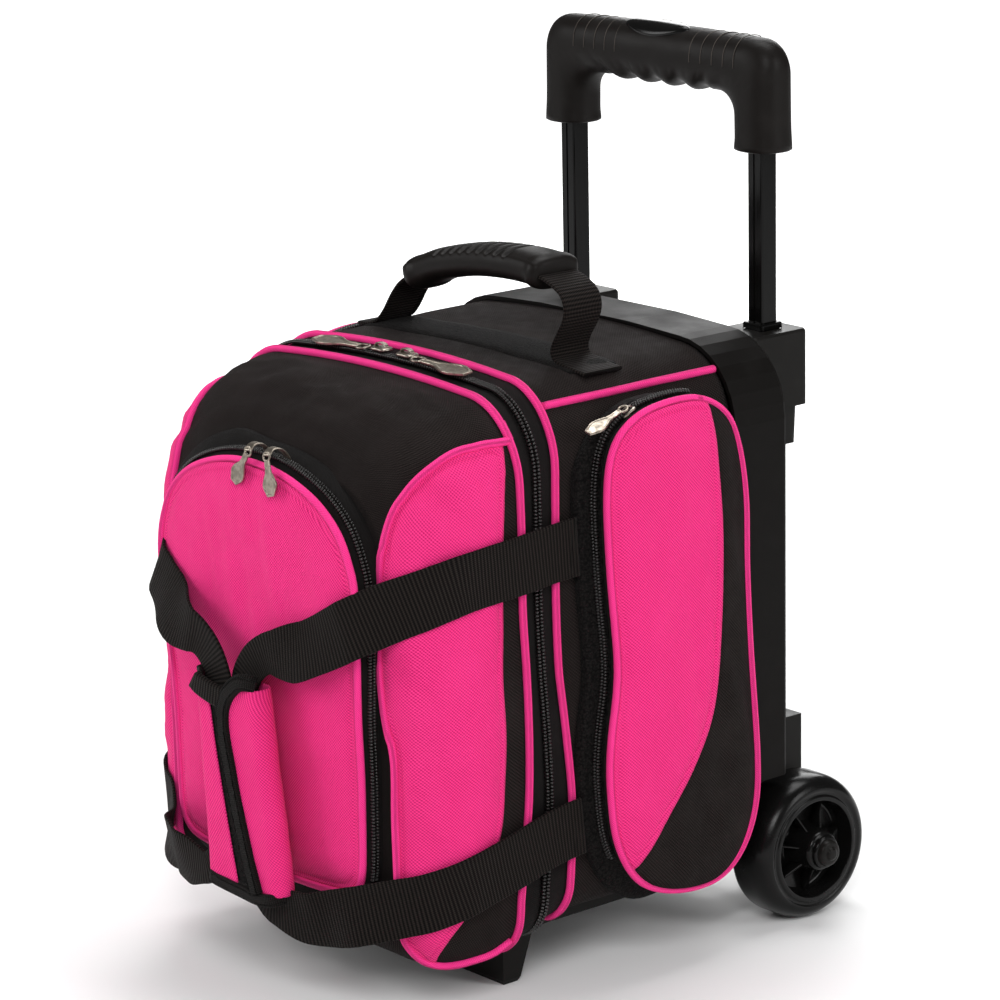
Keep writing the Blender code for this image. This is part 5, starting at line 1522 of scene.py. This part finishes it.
# ---------------------------------------------------------------- camera, light and floor
def look_along(azimuth, elevation):
    """Unit vectors to the right, up and back towards the viewer."""
    right = Vector((math.cos(azimuth), math.sin(azimuth), 0.0))
    back = Vector((math.sin(azimuth) * math.cos(elevation), -math.cos(azimuth) * math.cos(elevation),
                   math.sin(elevation)))
    return right, back.cross(right), back


right, up, back = look_along(CAMERA_AZIMUTH, CAMERA_ELEVATION)
eye = back * CAMERA_DISTANCE + right * CAMERA_SIDE + up * CAMERA_UP
spin_c, spin_s = math.cos(CAMERA_ROLL), math.sin(CAMERA_ROLL)
right, up = right * spin_c + up * spin_s, up * spin_c - right * spin_s
lens = bpy.data.cameras.new("view_camera")
lens.lens = CAMERA_LENS
lens.sensor_width = 36.0
lens.clip_start, lens.clip_end = 0.05, 50.0
camera = bpy.data.objects.new("view_camera", lens)
camera.matrix_world = Matrix(((right.x, up.x, back.x, eye.x), (right.y, up.y, back.y, eye.y),
                              (right.z, up.z, back.z, eye.z), (0.0, 0.0, 0.0, 1.0)))
bpy.context.scene.collection.objects.link(camera)
bpy.context.scene.camera = camera


def soft_light(name, place, aim, size, power):
    lamp = bpy.data.lights.new(name, "AREA")
    lamp.shape = "RECTANGLE"
    lamp.size, lamp.size_y = size
    lamp.energy = power
    obj = bpy.data.objects.new(name, lamp)
    obj.location = place
    obj.rotation_euler = (Vector(aim) - Vector(place)).to_track_quat("-Z", "Y").to_euler()
    bpy.context.scene.collection.objects.link(obj)


soft_light("key_light", (2.2, -1.9, 2.3), (0.0, 0.0, 0.25), (1.3, 1.3), 62.0)
soft_light("front_light", (-1.9, -2.2, 1.5), (0.0, 0.0, 0.22), (1.5, 1.5), 44.0)
soft_light("side_light", (2.6, 1.2, 1.3), (0.0, 0.05, 0.28), (0.9, 1.8), 30.0)
soft_light("top_light", (-0.3, 0.7, 2.6), (0.0, 0.0, 0.3), (1.6, 1.2), 40.0)
soft_light("rim_light", (-1.6, 2.2, 1.5), (0.0, 0.05, 0.3), (1.2, 1.4), 26.0)

world = bpy.data.worlds.new("studio")
world.use_nodes = True
sky = world.node_tree.nodes["Background"]
sky.inputs["Color"].default_value = (1.0, 1.0, 1.0, 1.0)
path_kind = world.node_tree.nodes.new("ShaderNodeLightPath")
product = world.node_tree.nodes.new("ShaderNodeMath")
product.operation = "MULTIPLY"
# White where the camera sees it, softer as light, and dimmer again in reflections so that black stays black.
for index, (ray, low, high) in enumerate((("Is Camera Ray", 0.34, 1.0), ("Is Glossy Ray", 1.0, 0.22))):
    share = world.node_tree.nodes.new("ShaderNodeMapRange")
    share.inputs["To Min"].default_value, share.inputs["To Max"].default_value = low, high
    world.node_tree.links.new(path_kind.outputs[ray], share.inputs["Value"])
    world.node_tree.links.new(share.outputs["Result"], product.inputs[index])
world.node_tree.links.new(product.outputs["Value"], sky.inputs["Strength"])
bpy.context.scene.world = world
bpy.context.scene.view_settings.view_transform = "Standard"

floor_mesh = bpy.data.meshes.new("studio_floor")
floor_mesh.from_pydata([(-12, -12, 0), (12, -12, 0), (12, 12, 0), (-12, 12, 0)], [], [(0, 1, 2, 3)])
floor = bpy.data.objects.new("studio_floor", floor_mesh)
bpy.context.scene.collection.objects.link(floor)
floor_look = Look("studio_floor", (0.86, 0.86, 0.86), 0.75)
floor_look.link(floor_look.blend(floor_look.noise(floor_look.place(), 0.6), (0.84, 0.84, 0.84), (0.88, 0.88, 0.88)),
                "Base Color")
away = floor_look.node("ShaderNodeVectorMath", {0: floor_look.place()}, operation="LENGTH").outputs["Value"]
seen = floor_look.node("ShaderNodeLightPath").outputs["Is Camera Ray"]
glow = floor_look.node("ShaderNodeMapRange", {"Value": away, "From Min": 0.5, "From Max": 3.0, "To Min": 0.0,
                                              "To Max": 0.9}, interpolation_type="SMOOTHSTEP").outputs["Result"]
floor_look.set("Emission Color", (1.0, 1.0, 1.0, 1.0))
floor_look.link(floor_look.math("MULTIPLY", glow, seen), "Emission Strength")
floor_mesh.materials.append(floor_look.material)
